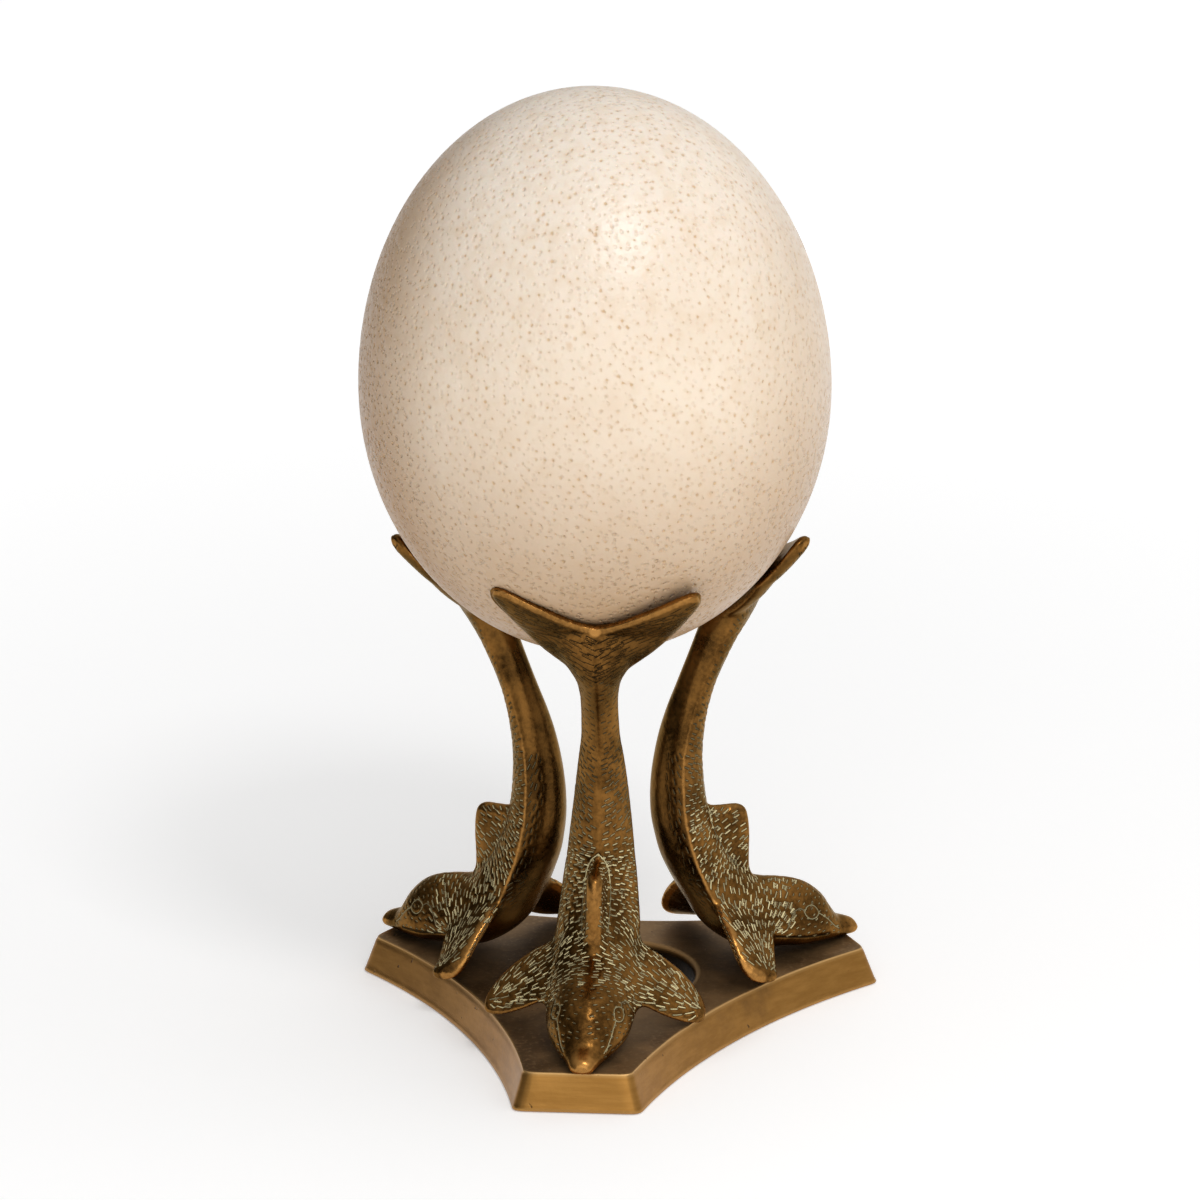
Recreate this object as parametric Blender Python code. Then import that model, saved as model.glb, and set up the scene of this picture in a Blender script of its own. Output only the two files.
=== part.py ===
"""Ostrich egg resting in the tail flukes of three bronze dolphins on a three-armed plate.

Metres, +Z up. Every shape below is written in millimetres about the stand's own axis, with the front arm
along -Y, and is scaled once, when its mesh is made. The empty called "stand" carries them all.
"""

import math

import bmesh
import bpy
from mathutils import Matrix, Vector

MM = 0.001

# Egg: a round of two half ellipses, blunter above than below.
EGG_RADIUS = 64.0
EGG_WIDEST_Z = 181.3
EGG_UPPER_HALF = 81.5
EGG_LOWER_HALF = 73.6
EGG_AROUND = 44
EGG_UP = 22

# Base plate: three straight arm ends joined by three hollow arcs.
PLATE_HEIGHT = 10.2
PLATE_TOP = dict(reach=72.4, half_end=14.5, hollow=8.4)
PLATE_FOOT = dict(reach=75.5, half_end=17.2, hollow=8.3)
PLATE_HOLE_RADIUS = 24.0
PLATE_HOLE_ROUND = 2.0
PLATE_EDGE_ROUND = 0.35
PLATE_ARC_STEPS = 14
PLATE_HOLE_STEPS = 48

# Gaps left where one piece rests on another.
GAP = 0.3

# Dolphin body, from the beak to the flukes. Each row is one section: the belly, flank and back points in
# the dolphin's own upright plane as (out from the stand's axis, up), then the half width at the flank.
BODY = (
    ((75.5, 11.5), (75.9, 12.3), (75.7, 13.2), 1.6),
    ((74.5, 10.7), (75.0, 12.5), (74.6, 14.6), 3.0),
    ((72.5, 10.6), (72.7, 12.9), (72.2, 15.7), 3.9),
    ((69.5, 10.7), (69.7, 13.2), (69.4, 16.9), 5.0),
    ((66.2, 11.0), (66.8, 13.8), (67.2, 20.0), 6.7),
    ((62.2, 11.2), (63.4, 14.5), (64.8, 23.8), 8.5),
    ((58.0, 11.4), (59.7, 15.3), (61.0, 27.2), 10.1),
    ((54.0, 11.5), (55.7, 16.1), (57.0, 29.2), 11.2),
    ((50.0, 11.6), (51.0, 16.9), (52.3, 30.5), 11.9),
    ((46.0, 11.7), (46.5, 17.8), (47.5, 31.4), 12.4),
    ((42.2, 12.0), (42.0, 19.2), (43.6, 32.7), 12.8),
    ((37.6, 13.4), (37.8, 20.8), (40.3, 35.4), 13.0),
    ((32.4, 16.6), (34.2, 22.6), (37.7, 38.5), 13.1),
    ((28.2, 20.8), (31.0, 25.0), (35.6, 41.6), 12.9),
    ((24.9, 26.4), (28.2, 28.2), (33.8, 45.0), 12.5),
    ((21.7, 31.7), (25.9, 32.2), (32.2, 48.4), 12.0),
    ((18.9, 36.9), (23.9, 37.3), (30.9, 51.6), 11.4),
    ((16.6, 42.0), (22.0, 42.5), (30.0, 54.8), 10.8),
    ((15.1, 47.2), (20.6, 48.0), (29.3, 58.5), 10.2),
    ((13.8, 53.2), (19.5, 54.0), (28.8, 62.5), 9.4),
    ((13.4, 59.2), (19.1, 60.0), (28.5, 66.8), 8.8),
    ((13.7, 65.8), (19.2, 66.5), (28.4, 71.5), 8.1),
    ((14.8, 72.5), (19.9, 73.0), (28.8, 76.5), 7.4),
    ((16.4, 79.2), (21.3, 79.0), (29.6, 81.3), 6.7),
    ((18.6, 85.7), (23.1, 84.0), (30.8, 86.0), 6.1),
    ((20.9, 91.2), (25.4, 89.2), (32.3, 90.4), 5.5),
    ((23.2, 96.5), (27.9, 94.3), (34.3, 94.8), 5.2),
    ((25.4, 101.5), (30.4, 99.5), (36.8, 99.4), 5.1),
    ((27.6, 106.5), (32.6, 104.3), (39.4, 103.8), 5.3),
    ((29.6, 110.6), (34.5, 108.6), (42.5, 108.2), 6.2),
    ((32.0, 114.6), (37.2, 113.2), (45.0, 112.9), 8.4),
    ((34.4, 118.6), (39.6, 117.8), (46.4, 117.6), 10.8),
    ((38.2, 122.4), (42.2, 122.0), (47.2, 121.8), 12.6),
    ((42.0, 126.0), (44.6, 125.8), (47.7, 125.6), 11.0),
    ((44.2, 128.2), (45.6, 128.1), (47.0, 128.0), 6.0),
)
JAW_STEEP_OUT = (50.0, 58.0)
HEAD_SECTIONS = 10
BODY_AROUND = 28

# Back fin: (out, up, half thickness) round its edge from the front foot to the rear foot, then its root.
BACK_FIN_EDGE = (
    (42.5, 33.0, 2.8), (40.6, 36.2, 2.5), (40.3, 40.6, 2.3), (40.5, 44.3, 2.2),
    (40.5, 47.2, 2.2), (40.3, 49.8, 2.2), (39.7, 51.6, 2.2), (37.8, 52.6, 2.2),
    (34.6, 52.6, 2.2), (31.6, 52.9, 2.2), (28.8, 54.4, 2.2),
)
BACK_FIN_ROOT = (31.0, 43.0)
BACK_FIN_ROOT_HALF = 3.3

# Flipper: (sideways, back edge, front edge, thickness at the back edge, at the front edge).
FLIPPER = (
    (6.0, (26.5, 31.0), (46.5, 20.5), 6.0, 6.0),
    (11.0, (25.9, 30.6), (46.2, 19.0), 5.4, 4.8),
    (15.0, (26.2, 28.5), (43.6, 18.0), 4.9, 3.8),
    (19.0, (26.5, 25.7), (41.8, 15.6), 4.8, 3.5),
    (22.5, (26.8, 23.0), (40.4, 13.8), 4.9, 3.4),
    (25.5, (27.1, 19.9), (39.4, 12.8), 5.0, 3.4),
    (27.8, (27.9, 17.0), (38.6, 12.6), 4.8, 3.3),
    (29.4, (29.5, 14.9), (37.6, 12.6), 4.0, 3.1),
    (30.3, (31.6, 13.7), (36.2, 12.8), 2.4, 2.1),
)
FLIPPER_AROUND = 16

# Flukes: (sideways, lowest, highest) of one lobe, seen square on, and how thick the blade is. The blade
# follows the egg at FLUKE_CLEARANCE, and lifts off it below FLUKE_LIFT_Z, where it runs into the body.
FLUKE = (
    (0.0, 112.5, 128.0), (3.0, 112.0, 128.7), (6.0, 111.8, 129.9), (9.0, 113.4, 131.2),
    (12.0, 115.9, 132.6), (15.0, 118.6, 134.0), (18.0, 121.5, 135.4), (21.0, 124.7, 136.9),
    (23.5, 128.2, 138.0), (25.6, 131.2, 138.6), (27.2, 133.6, 138.3), (28.0, 135.2, 137.2),
)
FLUKE_THICK = 4.1
FLUKE_CLEARANCE = 0.2
FLUKE_LIFT_Z = 124.0
FLUKE_LIFT_SLOPE = 0.36
FLUKE_AROUND = 16

# How each hand-finished casting sits on its arm: quarter of the stand, turn, lean and tilt in degrees,
# and sideways shift in millimetres.
PLACES = (
    ("dolphin_front", 0.0, 1.8, 1.9, -0.4, -0.9),
    ("dolphin_right", 120.0, -0.1, 0.2, 0.8, -1.1),
    ("dolphin_left", 240.0, 2.0, -0.2, 0.1, 2.6),
)
PLACE_PIVOT = Vector((0.0, -45.0, PLATE_HEIGHT))

# The stand's axis lies this far behind the middle of the whole object, whose origin is under that middle.
AXIS_BEHIND_MIDDLE = (PLATE_FOOT["reach"] - EGG_RADIUS) / 2.0

REMESH_VOXEL = 0.9
DOLPHIN_KEEP = 0.054


def clear_scene():
    for obj in list(bpy.data.objects):
        bpy.data.objects.remove(obj, do_unlink=True)


def make_material(name, colour, roughness, metallic):
    material = bpy.data.materials.new(name)
    material.use_nodes = True
    shader = material.node_tree.nodes["Principled BSDF"]
    shader.inputs["Base Color"].default_value = (*colour, 1.0)
    shader.inputs["Roughness"].default_value = roughness
    shader.inputs["Metallic"].default_value = metallic
    return material


def make_object(name, bm, material):
    """Turns a bmesh in millimetres into an object in metres, with its faces pointing out."""
    bmesh.ops.scale(bm, vec=(MM, MM, MM), verts=bm.verts)
    bmesh.ops.recalc_face_normals(bm, faces=bm.faces)
    mesh = bpy.data.meshes.new(name)
    bm.to_mesh(mesh)
    bm.free()
    obj = bpy.data.objects.new(name, mesh)
    bpy.context.scene.collection.objects.link(obj)
    obj.data.materials.append(material)
    obj.parent = bpy.data.objects["stand"]
    return obj


def shade_smooth(obj):
    for polygon in obj.data.polygons:
        polygon.use_smooth = True


def hide_helper(obj):
    obj.hide_render = True
    obj.display_type = "WIRE"


def loft(bm, rings):
    """Skins closed rings of equal length, and closes both ends with a fan about the ring's middle."""
    made = [[bm.verts.new(point) for point in ring] for ring in rings]
    count = len(made[0])
    for lower, upper in zip(made, made[1:]):
        for i in range(count):
            j = (i + 1) % count
            bm.faces.new((lower[i], lower[j], upper[j], upper[i]))
    for ring in (made[0], made[-1]):
        middle = bm.verts.new(sum((v.co for v in ring), Vector()) / count)
        for i in range(count):
            bm.faces.new((ring[i], ring[(i + 1) % count], middle))


def egg_radius_at(z, grow=0.0):
    """The egg's radius at a height, with the whole egg grown by some millimetres."""
    half = (EGG_UPPER_HALF if z > EGG_WIDEST_Z else EGG_LOWER_HALF) + grow
    share = min(1.0, abs(z - EGG_WIDEST_Z) / half)
    return (EGG_RADIUS + grow) * math.sqrt(1.0 - share * share)


def egg_bmesh(grow, around, up):
    bm = bmesh.new()
    foot = bm.verts.new((0.0, 0.0, EGG_WIDEST_Z - EGG_LOWER_HALF - grow))
    top = bm.verts.new((0.0, 0.0, EGG_WIDEST_Z + EGG_UPPER_HALF + grow))
    rings = []
    for row in range(1, up):
        angle = math.pi * row / up
        half = EGG_LOWER_HALF if row < up / 2 else EGG_UPPER_HALF
        z = EGG_WIDEST_Z - (half + grow) * math.cos(angle)
        radius = (EGG_RADIUS + grow) * math.sin(angle)
        turns = [2.0 * math.pi * i / around for i in range(around)]
        rings.append([bm.verts.new((radius * math.cos(a), radius * math.sin(a), z)) for a in turns])
    for lower, upper in zip(rings, rings[1:]):
        for i in range(around):
            j = (i + 1) % around
            bm.faces.new((lower[i], lower[j], upper[j], upper[i]))
    for i in range(around):
        j = (i + 1) % around
        bm.faces.new((foot, rings[0][j], rings[0][i]))
        bm.faces.new((top, rings[-1][i], rings[-1][j]))
    return bm


def plate_outline(reach, half_end, hollow):
    """The star seen from above: three straight ends, and hollow arcs between their corners."""
    corners = []
    for arm in range(3):
        turn = Matrix.Rotation(math.radians(120.0 * arm), 2)
        corners.append((turn @ Vector((-half_end, -reach)), turn @ Vector((half_end, -reach))))
    points = []
    for arm in range(3):
        start, end = corners[arm][1], corners[(arm + 1) % 3][0]
        middle = (start + end) / 2.0
        half_chord = (end - start).length / 2.0
        radius = (half_chord**2 + hollow**2) / (2.0 * hollow)
        centre = middle + middle.normalized() * (radius - hollow)
        first = math.atan2(start.y - centre.y, start.x - centre.x)
        last = math.atan2(end.y - centre.y, end.x - centre.x)
        sweep = (last - first + math.pi) % (2.0 * math.pi) - math.pi
        for step in range(PLATE_ARC_STEPS + 1):
            angle = first + sweep * step / PLATE_ARC_STEPS
            points.append(centre + radius * Vector((math.cos(angle), math.sin(angle))))
    return points


def make_plate(material):
    bm = bmesh.new()
    foot = [bm.verts.new((*p, 0.0)) for p in plate_outline(**PLATE_FOOT)]
    top = [bm.verts.new((*p, PLATE_HEIGHT)) for p in plate_outline(**PLATE_TOP)]
    count = len(foot)
    for i in range(count):
        j = (i + 1) % count
        bm.faces.new((foot[i], foot[j], top[j], top[i]))
    bm.faces.new(foot)
    top_face = bm.faces.new(top)
    bmesh.ops.bevel(
        bm, geom=list(top_face.edges), offset=PLATE_EDGE_ROUND, segments=1, affect="EDGES", profile=0.5
    )
    plate = make_object("base_plate", bm, material)

    # The hole's cutter flares at the top, which leaves the hole a rounded rim.
    bm = bmesh.new()
    flare = PLATE_HOLE_ROUND
    sides = [(PLATE_HOLE_RADIUS, -5.0), (PLATE_HOLE_RADIUS, PLATE_HEIGHT - flare)]
    for step in range(1, 4):
        angle = math.radians(24.0 * step)
        sides.append((
            PLATE_HOLE_RADIUS + flare * (1.0 - math.cos(angle)),
            PLATE_HEIGHT - flare * (1.0 - math.sin(angle)),
        ))
    last_out, last_up = sides[-1]
    sides.append((last_out + 3.0 * math.sin(angle), last_up + 3.0 * math.cos(angle)))
    turns = [2.0 * math.pi * i / PLATE_HOLE_STEPS for i in range(PLATE_HOLE_STEPS)]
    loft(bm, [[(r * math.cos(a), r * math.sin(a), z) for a in turns] for r, z in sides])
    cutter = make_object("hole_cutter", bm, material)
    hide_helper(cutter)
    cut(plate, cutter)
    return plate


def cut(obj, cutter):
    modifier = obj.modifiers.new("cut_" + cutter.name, "BOOLEAN")
    modifier.operation = "DIFFERENCE"
    modifier.solver = "EXACT"
    modifier.object = cutter


def power(value, exponent):
    return math.copysign(abs(value) ** exponent, value)


def body_ring(belly, flank, back, half_width, blend):
    """One section of the body. The flank is a crease; blend runs from 0 at the head to 1 at the tail, and
    the jaws' walls are steep."""
    jaw = min(1.0, max(0.0, (flank[0] - JAW_STEEP_OUT[0]) / (JAW_STEEP_OUT[1] - JAW_STEEP_OUT[0])))
    belly, flank, back = (Vector((0.0, -out, up)) for out, up in (belly, flank, back))
    ring = []
    for i in range(BODY_AROUND):
        angle = 2.0 * math.pi * (i + 0.5) / BODY_AROUND
        across, rise = math.cos(angle), math.sin(angle)
        if rise > 0.0:
            side = power(across, 1.0 - 0.05 * blend)
            height = abs(rise) ** (1.0 + 0.45 * blend)
            point = flank + (back - flank) * height
        else:
            side = power(across, 0.8 - 0.4 * jaw)
            height = abs(rise) ** 1.3
            point = flank + (belly - flank) * height
        ring.append(point + Vector((half_width * side, 0.0, 0.0)))
    return ring


def add_body(bm):
    rings = []
    for index, (belly, flank, back, half_width) in enumerate(BODY):
        blend = min(1.0, max(0.0, (index - HEAD_SECTIONS) / 6.0))
        rings.append(body_ring(belly, flank, back, half_width, blend))
    loft(bm, rings)


def add_back_fin(bm):
    """A blade fanned from a line buried in the back, thinning to a rounded edge."""
    rings = []
    for out, up, half in BACK_FIN_EDGE:
        edge = Vector((0.0, -out, up))
        root = Vector((0.0, -BACK_FIN_ROOT[0], BACK_FIN_ROOT[1]))
        outward = (edge - root).normalized()
        ring = []
        for side in (-1.0, 1.0):
            points = [
                root + Vector((side * BACK_FIN_ROOT_HALF, 0.0, 0.0)),
                edge + Vector((side * half, 0.0, 0.0)),
                edge + outward * half * 0.75 + Vector((side * half * 0.62, 0.0, 0.0)),
            ]
            ring += points if side < 0.0 else points[::-1]
            if side < 0.0:
                ring.append(edge + outward * half)
        rings.append(ring)
    loft(bm, rings)


def add_flipper(bm, side):
    rings = []
    for across, back, front, thick_back, thick_front in FLIPPER:
        back, front = Vector((-back[0], back[1])), Vector((-front[0], front[1]))
        along = (front - back) / 2.0
        normal = Vector((-along.y, along.x)).normalized()
        middle = (front + back) / 2.0
        ring = []
        for i in range(FLIPPER_AROUND):
            angle = 2.0 * math.pi * (i + 0.5) / FLIPPER_AROUND
            share = power(math.cos(angle), 0.8)
            half = (thick_back + (thick_front - thick_back) * (share + 1.0) / 2.0) / 2.0
            point = middle + along * share + normal * half * power(math.sin(angle), 0.8)
            ring.append(Vector((side * across, point.x, point.y)))
        rings.append(ring if side > 0.0 else ring[::-1])
    loft(bm, rings)


def add_flukes(bm):
    """The two lobes as one blade that hugs the egg."""
    rings = []
    lobes = [(-x, low, high) for x, low, high in FLUKE[:0:-1]] + list(FLUKE)
    for across, low, high in lobes:
        middle, half = (low + high) / 2.0, (high - low) / 2.0
        thick = min(FLUKE_THICK, 1.6 * half)
        ring = []
        for i in range(FLUKE_AROUND):
            angle = 2.0 * math.pi * (i + 0.5) / FLUKE_AROUND
            z = middle + half * power(math.sin(angle), 0.75)
            depth = thick / 2.0 * power(math.cos(angle), 0.6)
            lift = FLUKE_LIFT_SLOPE * max(0.0, FLUKE_LIFT_Z - z)
            radius = egg_radius_at(z, FLUKE_CLEARANCE + lift + FLUKE_THICK / 2.0 + depth)
            ring.append(Vector((across, -math.sqrt(max(1.0, radius**2 - across**2)), z)))
        rings.append(ring)
    loft(bm, rings)


def make_dolphin(name, material, egg_cutter, plate_cutter, quarter, turn, lean, tilt, shift):
    bm = bmesh.new()
    add_body(bm)
    add_back_fin(bm)
    add_flipper(bm, 1.0)
    add_flipper(bm, -1.0)
    add_flukes(bm)
    dolphin = make_object(name, bm, material)
    place = (
        Matrix.Rotation(math.radians(quarter + turn), 4, "Z")
        @ Matrix.Translation(Vector((shift, 0.0, 0.0)) * MM)
        @ Matrix.Translation(PLACE_PIVOT * MM)
        @ Matrix.Rotation(math.radians(lean), 4, "Y")
        @ Matrix.Rotation(math.radians(tilt), 4, "X")
        @ Matrix.Translation(-PLACE_PIVOT * MM)
    )
    dolphin.location = place.to_translation()
    dolphin.rotation_euler = place.to_euler()

    remesh = dolphin.modifiers.new("one_casting", "REMESH")
    remesh.mode = "VOXEL"
    remesh.voxel_size = REMESH_VOXEL * MM
    smooth = dolphin.modifiers.new("soften", "SMOOTH")
    smooth.factor = 0.5
    smooth.iterations = 3
    decimate = dolphin.modifiers.new("fewer_faces", "DECIMATE")
    decimate.ratio = DOLPHIN_KEEP
    cut(dolphin, egg_cutter)
    cut(dolphin, plate_cutter)
    return dolphin


def make_plate_cutter(material):
    """A block that reaches GAP above the plate's top, to keep the castings off it."""
    bm = bmesh.new()
    bmesh.ops.create_cube(bm, size=1.0)
    bmesh.ops.scale(bm, vec=(240.0, 240.0, 30.0), verts=bm.verts)
    bmesh.ops.translate(bm, vec=(0.0, 0.0, PLATE_HEIGHT + GAP - 15.0), verts=bm.verts)
    cutter = make_object("plate_cutter", bm, material)
    hide_helper(cutter)
    return cutter


def make_stand_empty():
    stand = bpy.data.objects.new("stand", None)
    bpy.context.scene.collection.objects.link(stand)
    stand.location = (0.0, AXIS_BEHIND_MIDDLE * MM, 0.0)


def main():
    clear_scene()
    make_stand_empty()
    shell = make_material("egg_shell", (0.82, 0.72, 0.56), 0.38, 0.0)
    bronze = make_material("dolphin_bronze", (0.16, 0.095, 0.035), 0.36, 1.0)
    plate_bronze = make_material("plate_bronze", (0.27, 0.155, 0.05), 0.42, 1.0)

    egg = make_object("egg", egg_bmesh(0.0, EGG_AROUND, EGG_UP), shell)
    shade_smooth(egg)
    make_plate(plate_bronze)

    egg_cutter = make_object("egg_cutter", egg_bmesh(GAP, EGG_AROUND, EGG_UP), shell)
    hide_helper(egg_cutter)
    plate_cutter = make_plate_cutter(shell)
    for name, quarter, turn, lean, tilt, shift in PLACES:
        material = bronze.copy()
        material.name = name + "_bronze"
        dolphin = make_dolphin(
            name, material, egg_cutter, plate_cutter, quarter, turn, lean, tilt, shift
        )
        shade_smooth(dolphin)


main()
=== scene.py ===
"""Looks of an ostrich egg that rests in the tail flukes of three bronze dolphins on a three-armed plate.

Shapes are modelled in millimetres about the stand's own axis, with the front arm along -Y, and are put
into the frame, in metres, when their meshes are made. The frame says where the stand's axis is.
"""

import itertools
import math

import bpy
import numpy as np
from mathutils import Matrix, Vector
from mathutils.bvhtree import BVHTree
from mathutils.kdtree import KDTree


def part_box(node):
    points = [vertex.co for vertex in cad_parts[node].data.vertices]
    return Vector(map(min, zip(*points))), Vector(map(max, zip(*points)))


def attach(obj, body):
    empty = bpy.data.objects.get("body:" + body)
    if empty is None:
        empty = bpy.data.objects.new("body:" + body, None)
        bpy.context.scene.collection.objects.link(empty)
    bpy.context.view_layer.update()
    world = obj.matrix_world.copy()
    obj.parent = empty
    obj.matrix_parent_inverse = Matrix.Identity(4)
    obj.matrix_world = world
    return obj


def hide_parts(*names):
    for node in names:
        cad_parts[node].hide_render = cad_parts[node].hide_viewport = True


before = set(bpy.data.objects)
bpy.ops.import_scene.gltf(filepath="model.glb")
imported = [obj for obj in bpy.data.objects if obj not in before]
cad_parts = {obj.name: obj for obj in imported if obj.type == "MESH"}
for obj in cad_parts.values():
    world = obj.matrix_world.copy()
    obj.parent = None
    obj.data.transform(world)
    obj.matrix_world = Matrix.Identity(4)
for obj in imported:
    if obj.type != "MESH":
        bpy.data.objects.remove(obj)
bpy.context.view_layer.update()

MM = 0.001
EGG_LOW, EGG_HIGH = (Vector(corner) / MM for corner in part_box("egg"))
AXIS = Vector(((EGG_LOW.x + EGG_HIGH.x) / 2.0, (EGG_LOW.y + EGG_HIGH.y) / 2.0, 0.0))

# Egg: a round of two half ellipses, blunter above than below.
EGG_RADIUS = (EGG_HIGH.x - EGG_LOW.x) / 2.0
EGG_UPPER_SHARE = 81.5 / 155.1
EGG_UPPER_HALF = (EGG_HIGH.z - EGG_LOW.z) * EGG_UPPER_SHARE
EGG_LOWER_HALF = (EGG_HIGH.z - EGG_LOW.z) - EGG_UPPER_HALF
EGG_WIDEST_Z = EGG_HIGH.z - EGG_UPPER_HALF
EGG_GRID = 124
PORE_COUNT = 26000
PORE_CLEAR = 1.9
# Stains on the egg: turn from the front and lift from level, in radians, then size.
STAINS = ((0.02, 0.35, 1.3), (0.62, -0.2, 1.6), (0.5, -0.75, 1.8), (2.4, 0.3, 1.6), (-2.2, 0.1, 1.4))

# Base plate.
PLATE_HEIGHT = (Vector(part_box("base_plate")[1]) / MM).z
PLATE_TOP = dict(reach=72.4, half_end=14.5, hollow=8.4)
PLATE_FOOT = dict(reach=75.5, half_end=17.2, hollow=8.3)
PLATE_HOLE_RADIUS = 24.0
PLATE_HOLE_ROUND = 2.0
PLATE_EDGE_ROUND = 0.5
END_STEPS, HOLLOW_STEPS = 20, 110

# Dolphin body, from the beak to the flukes. Each row is one section: the belly, flank and back points in
# the dolphin's own upright plane as (out from the stand's axis, up), the half width at the flank, then how
# sharp the flank and the back are, from 0 for round to 1 for a crease.
BODY = (
    (75.5, 11.5, 75.9, 12.3, 75.7, 13.2, 1.6, 0.0, 0.0),
    (74.5, 10.7, 75.0, 12.5, 74.6, 14.6, 3.0, 0.1, 0.0),
    (72.5, 10.6, 72.7, 12.9, 72.2, 15.7, 3.9, 0.2, 0.0),
    (69.5, 10.7, 69.7, 13.2, 69.4, 16.9, 5.0, 0.3, 0.1),
    (66.2, 11.0, 66.8, 13.8, 67.2, 20.0, 6.7, 0.3, 0.3),
    (62.2, 11.2, 63.4, 14.5, 64.8, 23.8, 8.5, 0.3, 0.4),
    (58.0, 11.4, 59.7, 15.3, 61.0, 27.2, 10.1, 0.3, 0.5),
    (54.0, 11.5, 55.7, 16.1, 57.0, 29.2, 11.2, 0.3, 0.5),
    (50.0, 11.6, 51.0, 16.9, 52.3, 30.5, 11.9, 0.2, 0.5),
    (46.0, 11.7, 46.5, 17.8, 47.5, 31.4, 12.4, 0.2, 0.5),
    (42.2, 12.0, 42.0, 19.2, 43.6, 32.7, 12.8, 0.2, 0.5),
    (37.6, 13.4, 37.8, 20.8, 40.3, 35.4, 13.0, 0.3, 0.5),
    (32.4, 16.6, 34.2, 22.6, 37.7, 38.5, 13.1, 0.5, 0.5),
    (28.2, 20.8, 31.0, 25.0, 35.6, 41.6, 12.9, 0.8, 0.5),
    (24.9, 26.4, 28.2, 28.2, 33.8, 45.0, 12.5, 1.0, 0.5),
    (21.7, 31.7, 25.9, 32.2, 32.2, 48.4, 12.0, 1.0, 0.5),
    (18.9, 36.9, 23.9, 37.3, 30.9, 51.6, 11.4, 1.0, 0.5),
    (16.6, 42.0, 22.0, 42.5, 30.0, 54.8, 10.8, 1.0, 0.5),
    (15.1, 47.2, 20.6, 48.0, 29.3, 58.5, 10.2, 1.0, 0.5),
    (13.8, 53.2, 19.5, 54.0, 28.8, 62.5, 9.4, 1.0, 0.5),
    (13.4, 59.2, 19.1, 60.0, 28.5, 66.8, 8.8, 1.0, 0.5),
    (13.7, 65.8, 19.2, 66.5, 28.4, 71.5, 8.1, 1.0, 0.5),
    (14.8, 72.5, 19.9, 73.0, 28.8, 76.5, 7.4, 0.9, 0.6),
    (16.4, 79.2, 21.3, 79.0, 29.6, 81.3, 6.7, 0.8, 0.7),
    (18.6, 85.7, 23.1, 84.0, 30.8, 86.0, 6.1, 0.8, 0.8),
    (20.9, 91.2, 25.4, 89.2, 32.3, 90.4, 5.4, 0.7, 0.9),
    (23.2, 96.5, 27.9, 94.3, 34.3, 94.8, 5.2, 0.7, 1.0),
    (25.4, 101.5, 30.4, 99.5, 36.8, 99.4, 5.1, 0.6, 1.0),
    (27.6, 106.5, 32.6, 104.3, 39.4, 103.8, 5.3, 0.5, 1.0),
    (29.6, 110.6, 34.5, 108.6, 42.5, 108.2, 6.2, 0.5, 1.0),
    (32.0, 114.6, 37.2, 113.2, 45.0, 112.9, 8.4, 0.5, 1.0),
    (34.4, 118.6, 39.6, 117.8, 46.4, 117.6, 10.8, 0.5, 1.0),
    (38.2, 122.4, 42.2, 122.0, 47.2, 121.8, 12.6, 0.5, 1.0),
    (42.0, 126.0, 44.6, 125.8, 47.7, 125.6, 11.0, 0.5, 1.0),
    (44.2, 128.2, 45.6, 128.1, 47.0, 128.0, 6.0, 0.5, 1.0),
)
JAW_BOXY_OUT = (50.0, 58.0)
BODY_STEPS = 8
BODY_AROUND, FLIPPER_AROUND, FLUKE_AROUND = 112, 40, 48

# Back fin: (out, up, half thickness) round its edge from the front foot to the rear foot, then its root.
BACK_FIN_EDGE = (
    (42.5, 33.0, 2.8), (40.6, 36.2, 2.5), (40.3, 40.6, 2.3), (40.5, 44.3, 2.2),
    (40.5, 47.2, 2.2), (40.3, 49.8, 2.2), (39.7, 51.6, 2.2), (37.8, 52.6, 2.2),
    (34.6, 52.6, 2.2), (31.6, 52.9, 2.2), (28.8, 54.4, 2.2),
)
BACK_FIN_ROOT = (31.0, 43.0)
BACK_FIN_ROOT_HALF = 3.3

# Flipper: (sideways, back edge out and up, front edge out and up, thickness at the back and front edges).
FLIPPER = (
    (6.0, 26.5, 31.0, 46.5, 20.5, 6.0, 6.0),
    (11.0, 25.9, 30.6, 46.2, 19.0, 5.4, 4.8),
    (15.0, 26.2, 28.5, 43.6, 18.0, 4.9, 3.8),
    (19.0, 26.5, 25.7, 41.8, 15.6, 4.8, 3.5),
    (22.5, 26.8, 23.0, 40.4, 13.8, 4.9, 3.4),
    (25.5, 27.1, 19.9, 39.4, 12.8, 5.0, 3.4),
    (27.8, 27.9, 17.0, 38.6, 12.6, 4.8, 3.3),
    (29.4, 29.5, 14.9, 37.6, 12.6, 4.0, 3.1),
    (30.3, 31.6, 13.7, 36.2, 12.8, 2.4, 2.1),
)
FLIPPER_TABLE = np.array(FLIPPER)
FLIPPER_TIP = np.array((28.6, -34.4, 13.6))

# Flukes: (sideways, lowest, highest) of one lobe, seen square on. The blade follows the egg at
# FLUKE_CLEARANCE, and lifts off it below FLUKE_LIFT_Z, where it runs into the body.
FLUKE = (
    (0.0, 112.5, 128.0), (3.0, 112.0, 128.7), (6.0, 111.8, 129.9), (9.0, 113.4, 131.2),
    (12.0, 115.9, 132.6), (15.0, 118.6, 134.0), (18.0, 121.5, 135.4), (21.0, 124.7, 136.9),
    (23.5, 128.2, 138.0), (25.6, 131.2, 138.6), (27.2, 133.6, 138.3), (28.0, 135.2, 137.2),
)
FLUKE_THICK = 4.1
FLUKE_CLEARANCE = 0.2
FLUKE_LIFT_Z = 124.0
FLUKE_LIFT_SLOPE = 0.36
FLUKE_RIM = 2.6

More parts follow.
